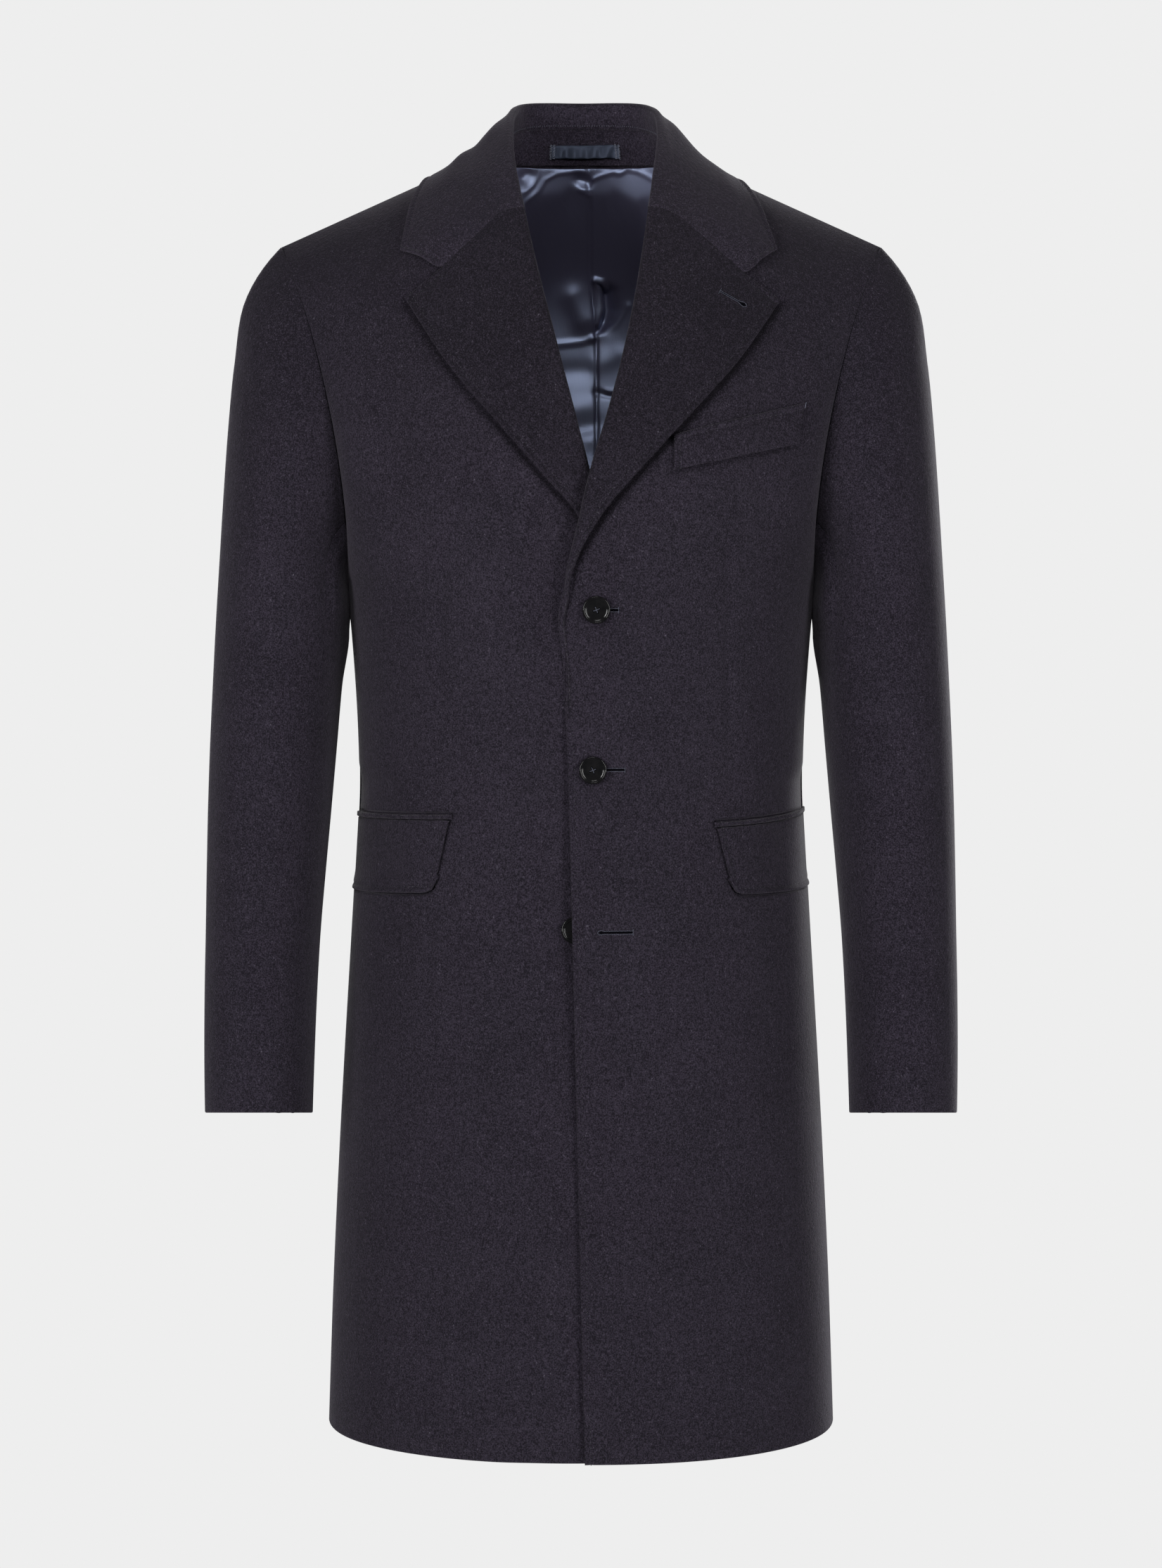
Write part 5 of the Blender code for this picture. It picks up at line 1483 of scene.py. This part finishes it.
points, normals = edge_line("collar", "start", FELL_AT, PURL_LIFT)
felled = runs(points, normals, np.abs(points[:, 0]) < FELLED_TO_X)
stitched("felling_stitches", felled, TACK, spacing=0.0019, length=0.0012, width=0.0003,
         turn=math.pi / 2, lean=0.3)
tacks = [edge_line("hanger_loop", edge, at, PURL_LIFT) for edge in ("start", "end") for at in TACK_AT]
stitched("loop_tacks", tacks, TACK, spacing=0.0012, length=0.0022, width=0.0008, turn=1.2, lean=0.5)
points, normals = edge_line("chest_welt", "end", 0.0, PURL_LIFT)
bar = np.linalg.norm(points - points[-1], axis=1) < WELT_BAR
stitched("welt_bar", runs(points, normals, bar), TACK, spacing=0.0007, length=0.0010, width=0.0006, lean=0.4)
seam = np.linspace(LINING_STITCHES.start, LINING_STITCHES.end, LINING_STITCHES.points)
stitched("lining_stitches", [laid(lining, seam, PURL_LIFT)], TACK,
         spacing=0.0021, length=0.0012, width=0.0004, lean=0.2)
print("felled lines:", len(felled), "tacks:", len(tacks))

# %% [markdown]
# ## Buttons
# The buttons are turned from black resin: a round rim, a fine ring inside it and a shallow dish with four
# holes. Each takes its place, its axis and its sizes from its solid. The holes are cut with a Boolean
# modifier, and two threads cross over them.

# %% Turn a blank
PROFILE = table(
    "radius depth",
    (0.00, 0.95), (0.30, 0.95), (0.60, 0.95), (0.70, 0.93), (0.735, 0.84), (0.76, 0.66), (0.785, 0.58),
    (0.82, 0.56), (0.865, 0.54), (0.888, 0.40), (0.907, 0.14), (0.926, 0.00), (0.944, 0.03), (0.962, 0.24),
    (0.980, 0.60), (1.00, 1.05), (0.995, 1.50),
)
BACK_RADIUS = 0.90
SEGMENTS = 72
MM = 0.001


def button_frame(node):
    """A button's middle, its axes with the last one pointing to the front, its radius and its two ends."""
    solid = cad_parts[node].data
    points = np.array([vert.co for vert in solid.vertices])
    middle = (points.max(axis=0) + points.min(axis=0)) / 2.0
    faces = np.array([face.normal * math.sqrt(face.area) for face in solid.polygons])
    axis = np.linalg.svd(faces, full_matrices=False)[2][0]
    axis = axis if axis[1] < 0.0 else -axis
    side = unit(np.cross((0.0, 0.0, 1.0), axis))
    axes = np.array((side, np.cross(axis, side), axis))
    local = (points - middle) @ axes.T
    return middle, axes, np.hypot(local[:, 0], local[:, 1]).max(), local[:, 2].min(), local[:, 2].max()


def turned_mesh(name, rings):
    """A closed mesh of rings of radius and height, turned round the z axis, with a fan at both ends."""
    circle = [(np.cos(a), np.sin(a)) for a in 2.0 * np.pi * np.arange(SEGMENTS) / SEGMENTS]
    points = [(radius * x, radius * y, height) for radius, height in rings[1:-1] for x, y in circle]
    points += [(0.0, 0.0, rings[0][1]), (0.0, 0.0, rings[-1][1])]
    number = np.arange(SEGMENTS * (len(rings) - 2)).reshape(-1, SEGMENTS)
    after = np.roll(number, -1, axis=1)
    quads = np.stack((number[:-1], number[1:], after[1:], after[:-1]), axis=-1).reshape(-1, 4)
    first, last = len(points) - 2, len(points) - 1
    fans = [(first, a, b) for a, b in zip(number[0], after[0])]
    fans += [(last, b, a) for a, b in zip(number[-1], after[-1])]
    mesh = bpy.data.meshes.new(name)
    mesh.from_pydata(points, [], quads.tolist() + fans)
    return mesh


print("the first button's radius is", round(button_frame("button_1")[2] / MM, 2), "mm")

# %% Drill and thread the buttons
RINGS = 64
SHARP_ANGLE = math.radians(40.0)
HOLE = SimpleNamespace(radius=0.00085, off=0.0015 * math.sqrt(2.0), turn=math.radians(22.0), segments=16)
CUTTER_LENGTH = 0.02
CROSSING = SimpleNamespace(lift=0.0004, dip=0.0006, points=9)


def hole_cutter():
    """Four upright cylinders that cut the holes."""
    body = bmesh.new()
    for quarter in range(4):
        angle = HOLE.turn + quarter * math.pi / 2
        place = Vector((math.cos(angle), math.sin(angle), 0.0)) * HOLE.off
        made = bmesh.ops.create_cone(
            body, cap_ends=True, segments=HOLE.segments, radius1=HOLE.radius, radius2=HOLE.radius,
            depth=CUTTER_LENGTH)
        bmesh.ops.translate(body, verts=made["verts"], vec=place)
    mesh = bpy.data.meshes.new("hole_cutter")
    body.to_mesh(mesh)
    body.free()
    return mesh


def drilled(name, rings):
    """A turned mesh with the four holes cut through it."""
    blank, cutter = put(name, turned_mesh(name, rings)), put("hole_cutter", hole_cutter())
    cut = blank.modifiers.new("holes", "BOOLEAN")
    cut.operation, cut.solver, cut.object = "DIFFERENCE", "EXACT", cutter
    mesh = applied(blank)
    bpy.data.objects.remove(cutter)
    return mesh


def crossing_threads(floor):
    """The two threads that cross over the holes above the dish's floor, as lines of points."""
    shares = np.linspace(-1.0, 1.0, CROSSING.points)
    heights = floor + CROSSING.lift - CROSSING.dip * shares ** 2
    turns = (HOLE.turn, HOLE.turn + math.pi / 2)
    ways = [np.array((math.cos(turn), math.sin(turn))) * HOLE.off for turn in turns]
    return [np.column_stack((np.outer(shares, way), heights)) for way in ways]


def turn_button(number):
    """A button in the place of its solid, and its threads."""
    node, name = f"button_{number}", f"turned_button_{number}"
    middle, axes, radius, back, front = button_frame(node)
    knots = np.array([(row.radius * radius, front - row.depth * MM) for row in PROFILE])
    run = distances(knots)
    rings = spline(run, knots, np.linspace(0.0, run[-1], RINGS))
    rings[0, 0] = 0.0
    mesh = drilled(name, np.vstack((rings, ((BACK_RADIUS * radius, back), (0.0, back)))))
    points = np.array([vert.co for vert in mesh.vertices]) @ axes + middle
    mesh.vertices.foreach_set("co", points.ravel())
    button = add_piece(name, mesh, RESIN)
    mesh.set_sharp_from_angle(angle=SHARP_ANGLE)
    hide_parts(node)
    up = np.tile(axes[2], (CROSSING.points, 1))
    threads = [(path @ axes + middle, up) for path in crossing_threads(front - PROFILE[0].depth * MM)]
    stitched(f"button_thread_{number}", threads, TWIST,
             spacing=0.0005, length=0.0008, width=0.0006, seed=number)
    print(node, "radius", round(radius / MM, 2), "mm, thickness", round((front - back) / MM, 2), "mm")


for number in (1, 2, 3):
    turn_button(number)

# %% [markdown]
# ## The cut of each piece
# Every piece of cloth is measured on the unrolled cloth for the size it was cut to: its width, its length
# and its area. A strip that is narrower than a sheet may be is declared with the narrowest cut.

NARROWEST_CUT = 0.010

for piece in PIECES:
    cloth = cloths[piece.node]
    flat = (cloth.across[:, -1].max(), max(cloth.down.max(), NARROWEST_CUT))
    area = min(cloth.area(), flat[0] * flat[1])
print("sheets:", len(PIECES))
